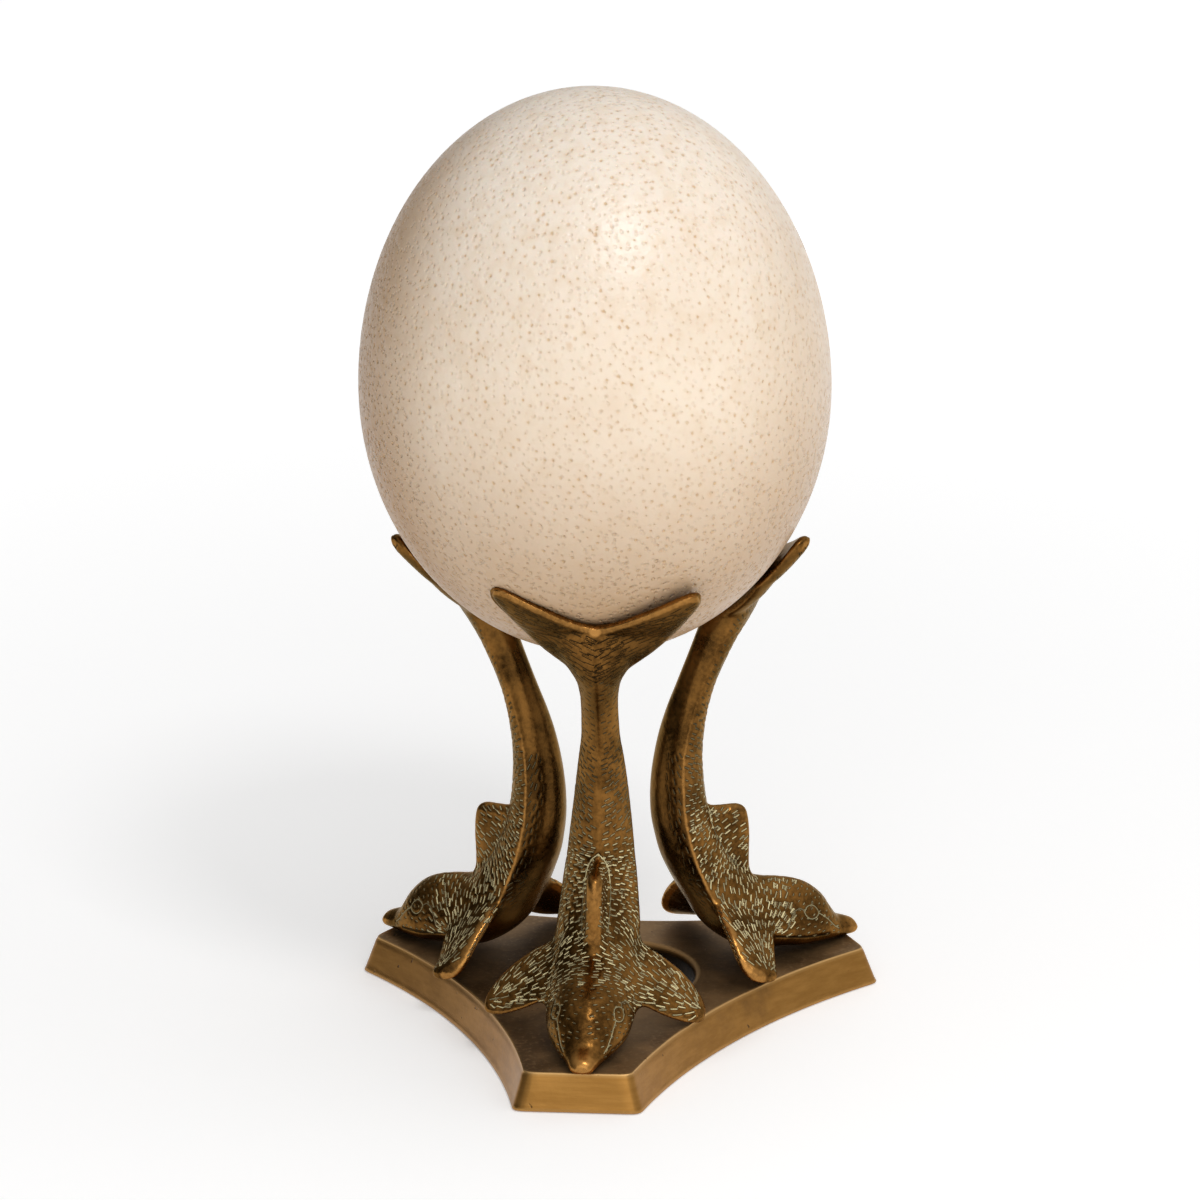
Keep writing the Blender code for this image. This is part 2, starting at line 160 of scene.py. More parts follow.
# Fillets at the roots of the fins and flukes: a line (sideways, y, up), then how far from it the skin is
# smoothed in full and where the smoothing ends.
FILLETS = (
    (((3.4, -39.5, 35.5), (3.4, -34.5, 43.0), (3.2, -31.2, 51.0), (0.0, -29.8, 55.5)), 1.0, 3.0),
    (((12.5, -27.0, 31.5), (12.5, -36.0, 26.5), (12.5, -45.5, 21.0)), 2.5, 6.0),
    (((12.0, -28.0, 25.0), (12.0, -36.0, 18.0), (11.5, -45.0, 15.5)), 2.0, 5.0),
    (((6.5, -38.0, 110.0), (9.5, -41.5, 116.0), (11.5, -43.5, 121.0), (9.0, -45.5, 127.0)), 2.0, 6.5),
)

# How each casting sits on its arm: quarter of the stand, turn, lean and tilt in degrees, sideways shift.
PLACES = (
    ("dolphin_front", 0.0, 1.8, 1.9, -0.4, -0.9),
    ("dolphin_right", 120.0, -0.1, 0.2, 0.8, -1.1),
    ("dolphin_left", 240.0, 2.0, -0.2, 0.1, 2.6),
)
PLACE_PIVOT = Vector((0.0, -45.0, PLATE_HEIGHT))

DOLPHIN_VOXEL = 0.41
REST_GAP = 0.2


# ---- mesh helpers


def add_to_scene(name, data):
    made = bpy.data.objects.new(name, data)
    bpy.context.scene.collection.objects.link(made)
    return made


def new_object(name, points, faces):
    """A smooth mesh object in the frame, from points in millimetres about the stand's axis."""
    mesh = bpy.data.meshes.new(name)
    mesh.from_pydata(((np.asarray(points) + np.array(AXIS)) * MM).tolist(), [], faces)
    mesh.polygons.foreach_set("use_smooth", [True] * len(mesh.polygons))
    mesh.update()
    return add_to_scene(name, mesh)


def set_vectors(piece, name, *columns):
    """Stores one vector for each vertex, for the material to read by name."""
    attribute = piece.data.attributes.new(name, "FLOAT_VECTOR", "POINT")
    attribute.data.foreach_set("vector", np.column_stack(columns).astype(np.float32).ravel())


def finish_piece(piece, node, material):
    piece.data.materials.append(material)
    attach(piece, "root")
    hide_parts(node)


def unit(vectors, least=1e-12):
    """The rows of an array as unit vectors."""
    return vectors / np.maximum(np.linalg.norm(vectors, axis=1, keepdims=True), least)


def tree_of(points):
    """A tree that finds the nearest of some points, by index."""
    tree = KDTree(len(points))
    for index, point in enumerate(points.tolist()):
        tree.insert(point, index)
    tree.balance()
    return tree


def smooth_through(rows, steps):
    """The rows of a table with Catmull-Rom points between them."""
    rows = np.array(rows, float)
    rows = np.vstack([2.0 * rows[0] - rows[1], rows, 2.0 * rows[-1] - rows[-2]])
    made = []
    for before, start, end, after in zip(rows, rows[1:], rows[2:], rows[3:]):
        for step in range(steps):
            t = step / steps
            made.append(0.5 * (
                2.0 * start
                + (end - before) * t
                + (2.0 * before - 5.0 * start + 4.0 * end - after) * t**2
                + (3.0 * start - before - 3.0 * end + after) * t**3
            ))
    made.append(rows[-2])
    return np.array(made)


def loft(rings):
    """Points and faces of a skin over closed rings of equal length, with both ends closed by fans."""
    rings = np.array(rings)
    count, around = rings.shape[:2]
    points = np.vstack([rings.reshape(-1, 3), rings[0].mean(0), rings[-1].mean(0)])
    faces = []
    for row in range(count - 1):
        for i in range(around):
            j = (i + 1) % around
            low, high = row * around, (row + 1) * around
            faces.append((low + i, low + j, high + j, high + i))
    first, last = count * around, count * around + 1
    for i in range(around):
        j = (i + 1) % around
        faces.append((j, i, first))
        faces.append(((count - 1) * around + i, (count - 1) * around + j, last))
    return points, faces


def join(parts):
    points, faces, start = [], [], 0
    for part_points, part_faces in parts:
        points.append(part_points)
        faces += [tuple(start + i for i in face) for face in part_faces]
        start += len(part_points)
    return np.vstack(points), faces


class Surface:
    """A closed mesh as arrays, with the sums over neighbours that smoothing and curvature need."""

    def __init__(self, mesh):
        self.points = np.zeros(len(mesh.vertices) * 3)
        mesh.vertices.foreach_get("co", self.points)
        self.points = self.points.reshape(-1, 3)
        self.faces = [tuple(polygon.vertices) for polygon in mesh.polygons]
        edges = np.zeros(len(mesh.edges) * 2, int)
        mesh.edges.foreach_get("vertices", edges)
        self.edges = edges.reshape(-1, 2)
        self.degree = np.bincount(self.edges.ravel(), minlength=len(self.points))

    def folded(self):
        """How far sideways, out and up each vertex is, and its place with both sides folded on to one."""
        across, out, up = np.abs(self.points[:, 0]), -self.points[:, 1], self.points[:, 2]
        return across, out, up, np.column_stack([across, -out, up])

    def around(self, values):
        """Each vertex's mean over its neighbours."""
        count = len(self.points)
        one, other = self.edges[:, 0], self.edges[:, 1]
        values = values.reshape(count, -1)
        total = np.stack([
            np.bincount(one, column[other], count) + np.bincount(other, column[one], count)
            for column in values.T
        ], 1)
        return (total / self.degree[:, None]).squeeze()

    def smooth(self, weights, rounds):
        for _ in range(rounds):
            self.points += (self.around(self.points) - self.points) * weights[:, None]

    def blur(self, values, rounds):
        for _ in range(rounds):
            values = 0.5 * values + 0.5 * self.around(values)
        return values

    def normals(self):
        """Vertex normals, weighted by area."""
        quads = np.array([f if len(f) == 4 else (*f, f[-1]) for f in self.faces])
        a, b, c, d = (self.points[quads[:, i]] for i in range(4))
        face_normals = np.cross(c - a, d - b)
        total = np.zeros_like(self.points)
        for i in range(4):
            for axis in range(3):
                total[:, axis] += np.bincount(quads[:, i], face_normals[:, axis], len(self.points))
        return unit(total)


def ramp(values, low, high):
    """A smooth step from 0 at low to 1 at high."""
    share = np.clip((np.asarray(values, float) - low) / (high - low), 0.0, 1.0)
    return share * share * (3.0 - 2.0 * share)


def fade(values, low, high):
    """A smooth step from 1 at low to 0 at high."""
    return 1.0 - ramp(values, low, high)


# ---- dolphin form

FLUKE_TABLE = smooth_through(FLUKE, 4)


def egg_radius_at(z, grow=0.0):
    """The egg's radius at heights z, with the whole egg grown by some millimetres."""
    z = np.asarray(z, float)
    half = np.where(z > EGG_WIDEST_Z, EGG_UPPER_HALF, EGG_LOWER_HALF) + grow
    share = np.clip(np.abs(z - EGG_WIDEST_Z) / half, 0.0, 1.0)
    return (EGG_RADIUS + grow) * np.sqrt(1.0 - share * share)


def body_ring(row):
    """One section of the body: an upper half up to the back, and a lower half down to the belly."""
    belly, flank, back = (np.array((0.0, -row[i], row[i + 1])) for i in (0, 2, 4))
    half_width, flank_edge, back_edge = row[6:]
    angle = turns(BODY_AROUND)
    height = np.abs(np.sin(angle)) ** 1.25
    flank_power = 2.0 - 0.72 * flank_edge
    upper = (1.0 - height**flank_power) ** (1.0 / (2.0 - 0.55 * back_edge))
    jaw = float(ramp(row[2], *JAW_BOXY_OUT))
    lower = (1.0 - height ** (flank_power + 1.2 * jaw)) ** (1.0 / (2.1 + 0.5 * jaw))
    above = np.sin(angle) > 0.0
    side = np.where(above, upper, lower) * np.sign(np.cos(angle))
    reach = np.where(above[:, None], back - flank, belly - flank) * height[:, None]
    ring = flank + reach
    ring[:, 0] += half_width * side
    return ring


def body_form():
    return loft([body_ring(row) for row in smooth_through(BODY, BODY_STEPS)])


def back_fin_form():
    """A blade fanned from a line buried in the back, thinning to a rounded edge."""
    root = np.array((0.0, -BACK_FIN_ROOT[0], BACK_FIN_ROOT[1]))
    rings = []
    for out, up, half in smooth_through(BACK_FIN_EDGE, 6):
        edge = np.array((0.0, -out, up))
        outward = (edge - root) / np.linalg.norm(edge - root)
        ring = [root + (BACK_FIN_ROOT_HALF, 0.0, 0.0)]
        for step in range(13):
            angle = math.pi * step / 12
            ring.append(edge + outward * half * math.sin(angle) + (half * math.cos(angle), 0.0, 0.0))
        ring.append(root - (BACK_FIN_ROOT_HALF, 0.0, 0.0))
        rings.append(ring)
    return loft(rings)


def turns(count):
    """Evenly spaced angles once round, none of them straight up, down or sideways."""
    return 2.0 * math.pi * (np.arange(count) + 0.5) / count


def signed_power(values, exponent):
    return np.sign(values) * np.abs(values) ** exponent


def flipper_form(side):
    angle = turns(FLIPPER_AROUND)
    rings = []
    for across, back_out, back_up, front_out, front_up, thick_back, thick_front in smooth_through(FLIPPER, 5):
        back, front = np.array((-back_out, back_up)), np.array((-front_out, front_up))
        along = (front - back) / 2.0
        normal = np.array((-along[1], along[0])) / np.linalg.norm(along)
        share = signed_power(np.cos(angle), 0.8)
        half = (thick_back + (thick_front - thick_back) * (share + 1.0) / 2.0) / 2.0
        rise = half * signed_power(np.sin(angle), 0.8)
        flat = (front + back) / 2.0 + along * share[:, None] + normal * rise[:, None]
        ring = np.column_stack([np.full(len(angle), side * across), flat])
        rings.append(ring if side > 0.0 else ring[::-1])
    return loft(rings)


def fluke_form():
    """The two lobes as one blade that hugs the egg."""
    lobe = FLUKE_TABLE
    lobes = np.vstack([lobe[:0:-1] * (-1.0, 1.0, 1.0), lobe])
    angle = turns(FLUKE_AROUND)
    rings = []
    for across, low, high in lobes:
        middle, half = (low + high) / 2.0, max(0.2, (high - low) / 2.0)
        thick = min(FLUKE_THICK, 1.6 * half)
        z = middle + half * signed_power(np.sin(angle), 0.75)
        depth = thick / 2.0 * signed_power(np.cos(angle), 0.6)
        lift = FLUKE_LIFT_SLOPE * np.maximum(0.0, FLUKE_LIFT_Z - z)
        radius = egg_radius_at(z, FLUKE_CLEARANCE + FLUKE_THICK / 2.0 + depth + lift)
        out = np.sqrt(np.maximum(1.0, radius**2 - across**2))
        rings.append(np.column_stack([np.full(len(angle), across), -out, z]))
    return loft(rings)


def remeshed(points, faces, voxel):
    """One closed skin around everything, as a Surface."""
    mesh = bpy.data.meshes.new("form")
    mesh.from_pydata(points.tolist(), [], faces)
    form = add_to_scene("form", mesh)
    modifier = form.modifiers.new("skin", "REMESH")
    modifier.mode = "VOXEL"
    modifier.voxel_size = voxel
    graph = bpy.context.evaluated_depsgraph_get()
    skin = bpy.data.meshes.new_from_object(form.evaluated_get(graph))
    surface = Surface(skin)
    for made in (mesh, skin):
        bpy.data.meshes.remove(made)
    return surface


def near_polyline(points, line):
    """Each point's distance to a polyline."""
    best = np.full(len(points), 1e9)
    for start, end in zip(line, line[1:]):
        span = end - start
        share = np.clip(((points - start) @ span) / (span @ span), 0.0, 1.0)
        gap = np.linalg.norm(points - start - share[:, None] * span, axis=1)
        best = np.minimum(best, gap)
    return best


def dolphin_form():
    """The casting's skin before chasing: fillets at the fins' roots, crisp ridges left alone."""
    parts = [body_form(), back_fin_form(), flipper_form(1.0), flipper_form(-1.0), fluke_form()]
    surface = remeshed(*join(parts), DOLPHIN_VOXEL)
    folded = surface.folded()[3]
    weights = np.full(len(surface.points), 0.03)
    for line, inside, outside in FILLETS:
        weights += 0.5 * fade(near_polyline(folded, np.array(line)), inside, outside)
    weights = surface.blur(np.minimum(weights, 0.5), 4)
    length = 2.2 / DOLPHIN_VOXEL
    surface.smooth(weights, int(7 * length))
    surface.smooth(np.full(len(surface.points), 0.5), 3)
    return surface


def place_matrix(quarter, turn, lean, tilt, shift):
    return (
        Matrix.Rotation(math.radians(quarter + turn), 4, "Z")
        @ Matrix.Translation((shift, 0.0, 0.0))
        @ Matrix.Translation(PLACE_PIVOT)
        @ Matrix.Rotation(math.radians(lean), 4, "Y")
        @ Matrix.Rotation(math.radians(tilt), 4, "X")
        @ Matrix.Translation(-PLACE_PIVOT)
    )


def keep_clear(points):
    """Moves placed points out of the egg and off the plate's top."""
    points = points.copy()
    points[:, 2] = np.maximum(points[:, 2], PLATE_HEIGHT + REST_GAP)
    out = np.linalg.norm(points[:, :2], axis=1)
    half = np.where(points[:, 2] > EGG_WIDEST_Z, EGG_UPPER_HALF, EGG_LOWER_HALF) + REST_GAP
    rise = points[:, 2] - EGG_WIDEST_Z
    share = np.sqrt((out / (EGG_RADIUS + REST_GAP)) ** 2 + (rise / half) ** 2)
    push = 1.0 / np.clip(share, 0.5, 1.0)
    points[:, :2] *= push[:, None]
    points[:, 2] = EGG_WIDEST_Z + rise * push
    return points


# ---- chased strokes

# Where the chaser's strokes lie on a dolphin, in its own upright plane: (out, up) from the stand's axis.
EYE_MIDDLE = (58.2, 21.9)
EYE_HALF_LONG = 2.6
EYE_HALF_HIGH = 1.75
EYE_TILT = math.radians(-18.0)
EYE_TO_MOUTH = ((60.7, 21.0), (62.6, 19.7), (64.6, 17.8), (66.6, 15.6), (68.2, 14.4))
EYE_TO_NAPE = ((55.7, 22.9), (54.3, 23.8), (52.4, 23.4), (50.6, 21.6), (49.2, 19.2))
JAW_CREASE = ((45.5, 17.6), (49.5, 16.8), (54.9, 15.7), (59.5, 15.0), (63.9, 14.2))
FIN_OUTLINE = ((3.7, 37.5), (3.9, 41.0), (3.9, 45.0), (3.7, 49.0), (3.1, 52.6), (1.6, 55.6), (0.0, 56.8))
SAMPLE_STEP = 0.16
KEEL_HALF = 1.3
SHOULDER_UP = 29.0
FLUKE_FIELD_UP = 111.0
SCATTER_CELL = 3.6


class Chasing:
    """The strokes on one dolphin, as samples along each with their direction, width, depth and fill."""

    def __init__(self, surface, normals):
        self.surface, self.normals = surface, normals
        self.tree = BVHTree.FromPolygons(surface.points.tolist(), surface.faces)
        self.samples = []

    def add(self, line, width, depth, fill):
        """Adds a stroke along points that lie on the surface."""
        line = np.asarray(line, float)
        lengths = np.linalg.norm(np.diff(line, axis=0), axis=1)
        reach = np.concatenate([[0.0], np.cumsum(lengths)])
        count = max(2, int(reach[-1] / SAMPLE_STEP) + 1)
        spots = np.linspace(0.0, reach[-1], count)
        points = np.column_stack([np.interp(spots, reach, line[:, i]) for i in range(3)])
        along = unit(np.gradient(points, axis=0), 1e-9)
        for index in range(count):
            end = -1.0 if index == 0 else 1.0 if index == count - 1 else 0.0
            self.samples.append((*points[index], *along[index], end, width, depth, fill))

    def hits(self, rays):
        found = (self.tree.ray_cast(Vector(start), Vector(way))[0] for start, way in rays)
        return [hit for hit in found if hit is not None]

    def onto_side(self, side, flat):
        """Points given as (out, up), moved square on to one side of the dolphin."""
        rays = [((side * 60.0, -out, up), (-side, 0.0, 0.0)) for out, up in flat]
        return self.hits(rays)

    def onto_back(self, flat):
        """Points given as (sideways, up), moved inward on to the back."""
        rays = [((across, -90.0, up), (0.0, 1.0, 0.0)) for across, up in flat]
        return self.hits(rays)

    def stroke(self, start, direction_at, length, width, depth, fill):
        """A short stroke that follows the direction field over the surface, both ways from its middle."""
        halves = []
        for way in (-1.0, 1.0):
            point, half = Vector(start), []
            for _ in range(3):
                heading = Vector(direction_at(point)) * way
                near = self.tree.find_nearest(point + heading * (length / 6.0))
                if near[0] is None:
                    break
                point = near[0]
                half.append(point)
            halves.append(half)
        self.add([*halves[0][::-1], Vector(start), *halves[1]], width, depth, fill)

    def measure(self, limit=2.5):
        """For every vertex: across and beyond its nearest stroke, in stroke widths, the distance to it in
        millimetres, and that stroke's depth and fill."""
        samples = np.array(self.samples)
        tree = tree_of(samples[:, :3])
        nearest = np.array([tree.find(point)[1] for point in self.surface.points.tolist()])
        chosen = samples[nearest]
        away = self.surface.points - chosen[:, :3]
        along = (away * chosen[:, 3:6]).sum(1)
        across = (away * np.cross(self.normals, chosen[:, 3:6])).sum(1)
        beyond = np.where(along * chosen[:, 6] > 0.0, along, 0.0)
        distance = np.minimum(np.linalg.norm(away, axis=1), limit)
        width = chosen[:, 7]
        return across / width, beyond / width, distance, chosen[:, 8], chosen[:, 9]


def by_height(first, last, up):
    """A column of BODY against the height of the point it belongs to."""
    table = np.array(BODY)[11:]
    return np.interp(up, table[:, last], table[:, first])


def below_fluke_rim(across, up):
    return np.interp(across, FLUKE_TABLE[:, 0], FLUKE_TABLE[:, 2]) - up


def crease_line():
    """The flank crease as points (sideways, y, up), from the flipper's back edge to the flukes."""
    rows = np.array(BODY)[13:32]
    return np.column_stack([rows[:, 6], -rows[:, 2], rows[:, 3]])


def flipper_edge(out_column, up_column):
    """One long edge of the flipper as points (sideways, y, up)."""
    return np.column_stack([FLIPPER_TABLE[:, 0], -FLIPPER_TABLE[:, out_column], FLIPPER_TABLE[:, up_column]])


def field_direction(point, normal, twist=0.0):
    """Which way the strokes run at a point: to the flipper's tip on head and shoulder, across the body
    above them, and slanting up from the crease on the belly's side."""
    side = 1.0 if point[0] >= 0.0 else -1.0
    up = point[2]
    to_tip = FLIPPER_TIP * (side, 1.0, 1.0) - point
    to_tip /= max(np.linalg.norm(to_tip), 1e-6)
    slope = np.interp(up, (36.0, 47.0, 57.0, 66.0), (-0.75, -0.45, 0.0, 0.55))
    crosswise = np.array((side, 0.75, slope))
    if -point[1] < by_height(2, 3, up) and up > 27.0:
        crosswise = np.array((0.3 * side, 0.6, 0.75))
    if up > FLUKE_FIELD_UP:
        crosswise = np.array((side, 0.2, 0.5))
    share = float(ramp(up, 33.0, 42.0))
    heading = to_tip * (1.0 - share) + crosswise * share
    heading = heading - normal * (heading @ normal)
    heading /= max(np.linalg.norm(heading), 1e-6)
    if twist:
        heading = heading * math.cos(twist) + np.cross(normal, heading) * math.sin(twist)
    return heading


def chase_plan(surface, normals):
    """The stroke that would be centred on each vertex: its length, spacing along and across, width, depth
    and fill, and whether there may be one. Also each vertex's distance to the flank crease."""
    across, out, up, folded = surface.folded()
    rise = normals[:, 2]
    crease_gap = near_polyline(folded, crease_line())
    above_crease = out > by_height(2, 3, up)
    fin_proud = out - by_height(4, 5, up)
    low = up <= SHOULDER_UP
    outer = np.where(low, (rise > 0.12) | ((out > 44.0) & (rise > -0.15)), above_crease)
    usual = dict(length=2.0, along=2.95, across=0.98, width=0.175, depth=0.2, fill=1.0)
    plan = {key: np.full(len(up), value) for key, value in usual.items()}
    plan["may"] = outer & (crease_gap > 1.0) & (across > KEEL_HALF)

    def region(mask, **values):
        for key, value in values.items():
            plan[key] = np.where(mask, value, plan[key])

    region((up > 36.0) & above_crease, length=1.35, along=2.1, across=1.08)
    tail = (up > 56.0) & above_crease
    tail_fill = np.interp(up, (57, 66, 84), (0.75, 0.35, 0.08))
    region(tail, length=1.5, along=2.2, across=1.3, depth=0.18, width=0.17, fill=tail_fill)
    region(tail & (up > 88.0), length=1.1, along=2.4, across=1.6, depth=0.1, width=0.13, fill=0.1)
    fin = (fin_proud > 1.4) & (across < 3.6) & (up > 33.0) & (up < 54.0)
    fin_face = (np.abs(normals[:, 0]) > 0.85) & (fin_proud < 8.4)
    region(fin, length=1.7, along=2.5, across=1.2, may=fin_face, fill=0.85)
    region(fin & (fin_proud > 8.0), may=False)
    head = low & (out > 52.0)
    behind_beak = plan["may"] & (out < 68.0)
    region(head, length=0.8, along=2.2, across=1.5, fill=0.5, width=0.14, depth=0.13, may=behind_beak)
    crown = low & (out > 40.0) & (across < 3.0)
    region(crown, length=0.9, along=2.4, across=1.6, fill=0.3, depth=0.14)
    flipper = (across > 14.0) & (up < 27.0)
    flipper_top = (rise > 0.42) & (near_polyline(folded, flipper_edge(1, 2)) > 2.4) & (across < 28.0)
    region(flipper, along=3.1, across=1.0, length=2.35, may=flipper_top)
    flank = (up > SHOULDER_UP) & ~above_crease
    belly = flank & (crease_gap > 0.9) & (crease_gap < 5.0) & (up < 74.0)
    belly_fill = np.interp(crease_gap, (1.5, 5.0), (0.2, 0.0))
    region(belly, may=True, length=1.7, along=2.6, across=1.3, width=0.12, depth=0.1, fill=belly_fill)
    region(flank & ~belly, may=False)
    fluke_face = (normals[:, 1] < -0.25) & (rise < 0.55) & (below_fluke_rim(across, up) > FLUKE_RIM + 0.5)
    region(
        up > FLUKE_FIELD_UP,
        may=fluke_face, length=3.4, along=3.8, across=0.85, width=0.11, depth=0.05, fill=0.0,
    )
    return plan, crease_gap


def scatter(surface, plan, normals, random):
    """Vertices to centre strokes on, in random order, each clear of those chosen before it."""
    cells_around = list(itertools.product((-1, 0, 1), repeat=3))
    grid, chosen = {}, []
    for index in random.permutation(np.flatnonzero(plan["may"])):
        point = surface.points[index]
        heading = field_direction(point, normals[index])
        along, across = plan["along"][index], plan["across"][index]

        def overlaps(other):
            gap = point - other
            forward = gap @ heading
            beside = gap @ gap - forward * forward
            return (forward / along) ** 2 + beside / across**2 < 1.0

        x, y, z = (int(v) for v in point // SCATTER_CELL)
        nearby = (other for dx, dy, dz in cells_around for other in grid.get((x + dx, y + dy, z + dz), ()))
        if not any(overlaps(other) for other in nearby):
            grid.setdefault((x, y, z), []).append(point)
            chosen.append(index)
    return chosen


def eye_ring():
    """The eye's outline as (out, up): an ellipse pinched at both corners and tilted down to the beak."""
    ring = []
    for turn in np.linspace(0.0, 2.0 * math.pi, 33):
        long, high = EYE_HALF_LONG * math.cos(turn), EYE_HALF_HIGH * math.sin(turn)
        high *= 1.0 - 0.25 * math.cos(turn) ** 2
        ring.append((
            EYE_MIDDLE[0] + long * math.cos(EYE_TILT) - high * math.sin(EYE_TILT),
            EYE_MIDDLE[1] + long * math.sin(EYE_TILT) + high * math.cos(EYE_TILT),
        ))
    return ring


def chase(surface, normals, seed):
    """All the strokes of one dolphin, and what its material needs to know at every vertex."""
    random = np.random.default_rng(seed)
    plan, crease_gap = chase_plan(surface, normals)
    chasing = Chasing(surface, normals)
    for index in scatter(surface, plan, normals, random):
        twist = random.normal(0.0, 0.08)
        length = plan["length"][index] * random.uniform(0.7, 1.15)
        width = plan["width"][index] * random.uniform(0.8, 1.15)
        fill = plan["fill"][index] * random.uniform(0.4, 1.05)

        def heading_at(point, twist=twist):
            normal = np.array(chasing.tree.find_nearest(point)[1])
            return field_direction(np.array(point), normal, twist)

        chasing.stroke(surface.points[index], heading_at, length, width, plan["depth"][index], fill)
    for side in (-1.0, 1.0):
        for flat, width, depth, fill in (
            (eye_ring(), 0.15, 0.3, 0.45),
            (EYE_TO_MOUTH, 0.15, 0.3, 0.5),
            (EYE_TO_NAPE, 0.14, 0.2, 0.25),
            (JAW_CREASE, 0.22, 0.22, 0.0),
        ):
            chasing.add(chasing.onto_side(side, flat), width, depth, fill)
        outline = [(side * across, up) for across, up in FIN_OUTLINE]
        chasing.add(chasing.onto_back(outline[:4]), 0.13, 0.2, 0.25)
        chasing.add(chasing.onto_back(outline[3:]), 0.16, 0.3, 0.75)
        for across in np.arange(17.0, 27.0, 1.15):
            out, up = (np.interp(across, FLIPPER_TABLE[:, 0], FLIPPER_TABLE[:, i]) for i in (1, 2))
            spot = chasing.tree.find_nearest(Vector((side * across, 0.35 - out, up + 0.6)))[0]
            fill = random.uniform(0.1, 0.5)
            chasing.stroke(spot, lambda point: np.array((0.0, -0.75, -0.65)), 1.5, 0.11, 0.12, fill)
    return chasing.measure(), crease_gap


# ---- materials

# Bronze of the castings, from the dark of the hollows, partly patina and partly painted shade, to the pale
# fill of the strokes.
PATINA_DARK, PATINA_LIGHT = (0.078, 0.035, 0.0082), (0.26, 0.119, 0.027)
# The hollows' colour: dark patina in creases, and painted shade on undersides, inner faces and fin sides.
PATINA_AND_PAINTED_SHADE = (0.024, 0.0135, 0.0042)
RUBBED_BRONZE = (0.44, 0.212, 0.056)
# Painted shade along the strokes' edges, and dark patina with painted shade in their grooves.
STROKE_SKIRT_PAINTED_SHADE, STROKE_CORE_PATINA_AND_SHADE = (0.030, 0.0175, 0.0065), (0.018, 0.011, 0.005)
STROKE_FILL_DULL, STROKE_FILL_PALE = (0.60, 0.51, 0.255), (0.90, 0.79, 0.465)
BRONZE_GRAZING = (0.94, 0.80, 0.60, 1.0)
STROKE_REACH = (0.34, 0.50)

# Bronze of the plate, with painted shade on the hole's wall.
TOP_DARK, TOP_LIGHT, TOP_GRAIN = (0.165, 0.094, 0.037), (0.385, 0.235, 0.107), (0.46, 0.30, 0.155)
SIDE_DARK, SIDE_LIGHT, SIDE_CLOUD = (0.315, 0.152, 0.035), (0.40, 0.200, 0.050), (0.22, 0.108, 0.030)
# The near black is painted shade on the hole's wall.
PLATE_WORN, PLATE_HOLE_SHADE, PLATE_PIT = (0.66, 0.41, 0.165), (0.020, 0.012, 0.006), (0.06, 0.035, 0.016)

# Eggshell, paler at the crown as painted light and tan at the bottom and sides as painted shade.
IVORY_DULL, IVORY_LIGHT = (0.80, 0.655, 0.505), (0.85, 0.72, 0.575)
IVORY_PAINTED_LIGHT_CROWN, IVORY_MOTTLE = (0.88, 0.785, 0.68), (0.77, 0.605, 0.44)
SHELL_PAINTED_SHADE_TAN, PORE_HALO, PORE_TAN = (0.365, 0.183, 0.047), (0.66, 0.425, 0.235), (0.60, 0.375, 0.175)
FINE_PORE_TAN, STAIN_TAN = (0.58, 0.37, 0.20), (0.66, 0.44, 0.25)

FLOOR_DULL, FLOOR_LIGHT = (0.955, 0.955, 0.955), (0.97, 0.97, 0.97)


class Nodes:
    """One node tree, with short ways to add to it. Every value may be a number or another node's socket."""

    def __init__(self, tree):
        self.tree = tree

    def fill(self, made, values):
        for key, value in values.items():
            if isinstance(value, bpy.types.NodeSocket):
                self.tree.links.new(value, made.inputs[key])
            else:
                made.inputs[key].default_value = value
        return made

    def shade(self, **values):
        """Sets the shader's inputs by their names, with _ for each space."""
        values = {key.replace("_", " "): value for key, value in values.items()}
        self.fill(self.tree.nodes["Principled BSDF"], values)

    def add(self, kind, values, output=0, **settings):
        made = self.tree.nodes.new(kind)
        for key, value in settings.items():
            setattr(made, key, value)
        return self.fill(made, values).outputs[output]

    def maths(self, operation, *values):
        return self.add("ShaderNodeMath", dict(enumerate(values)), operation=operation)

    def plus(self, one, other):
        return self.maths("ADD", one, other)

    def minus(self, one, other):
        return self.maths("SUBTRACT", one, other)

    def times(self, one, other):
        return self.maths("MULTIPLY", one, other)

    def length(self, vector):
        return self.add("ShaderNodeVectorMath", {0: vector}, "Value", operation="LENGTH")

    def parts(self, vector):
        made = self.add("ShaderNodeSeparateXYZ", {"Vector": vector}).node
        return list(made.outputs)

    def place(self):
        """Object coordinates, in metres."""
        return self.add("ShaderNodeTexCoord", {}, "Object")

    def noise(self, scale, detail=3.0, roughness=0.55, stretch=None):
        """Noise over the object, with scale in features to the metre, optionally stretched along an axis."""
        place = self.place()
        if stretch is not None:
            place = self.add("ShaderNodeMapping", {"Vector": place, "Scale": stretch})
        values = {"Vector": place, "Scale": scale, "Detail": detail, "Roughness": roughness}
        return self.add("ShaderNodeTexNoise", values)

    def stepped(self, value, low, high, bottom=0.0, top=1.0):
        """A smooth step from bottom to top as the value goes from low to high."""
        values = {"Value": value, "From Min": low, "From Max": high, "To Min": bottom, "To Max": top}
        return self.add("ShaderNodeMapRange", values, interpolation_type="SMOOTHSTEP")

    def mixed(self, share, one, other):
        """A colour between two, by share."""
        values = {0: share}
        for slot, colour in ((6, one), (7, other)):
            values[slot] = colour if isinstance(colour, bpy.types.NodeSocket) else (*colour, 1.0)
        return self.add("ShaderNodeMix", values, 2, data_type="RGBA", clamp_factor=True)

    def attribute(self, name):
        """A vector stored on the mesh."""
        return self.add("ShaderNodeAttribute", {}, "Vector", attribute_name=name, attribute_type="GEOMETRY")

    def bump(self, height, strength, distance):
        return self.add("ShaderNodeBump", {"Height": height, "Strength": strength, "Distance": distance})


def new_material(name):
    material = bpy.data.materials.new(name)
    material.use_nodes = True
    return material, Nodes(material.node_tree)


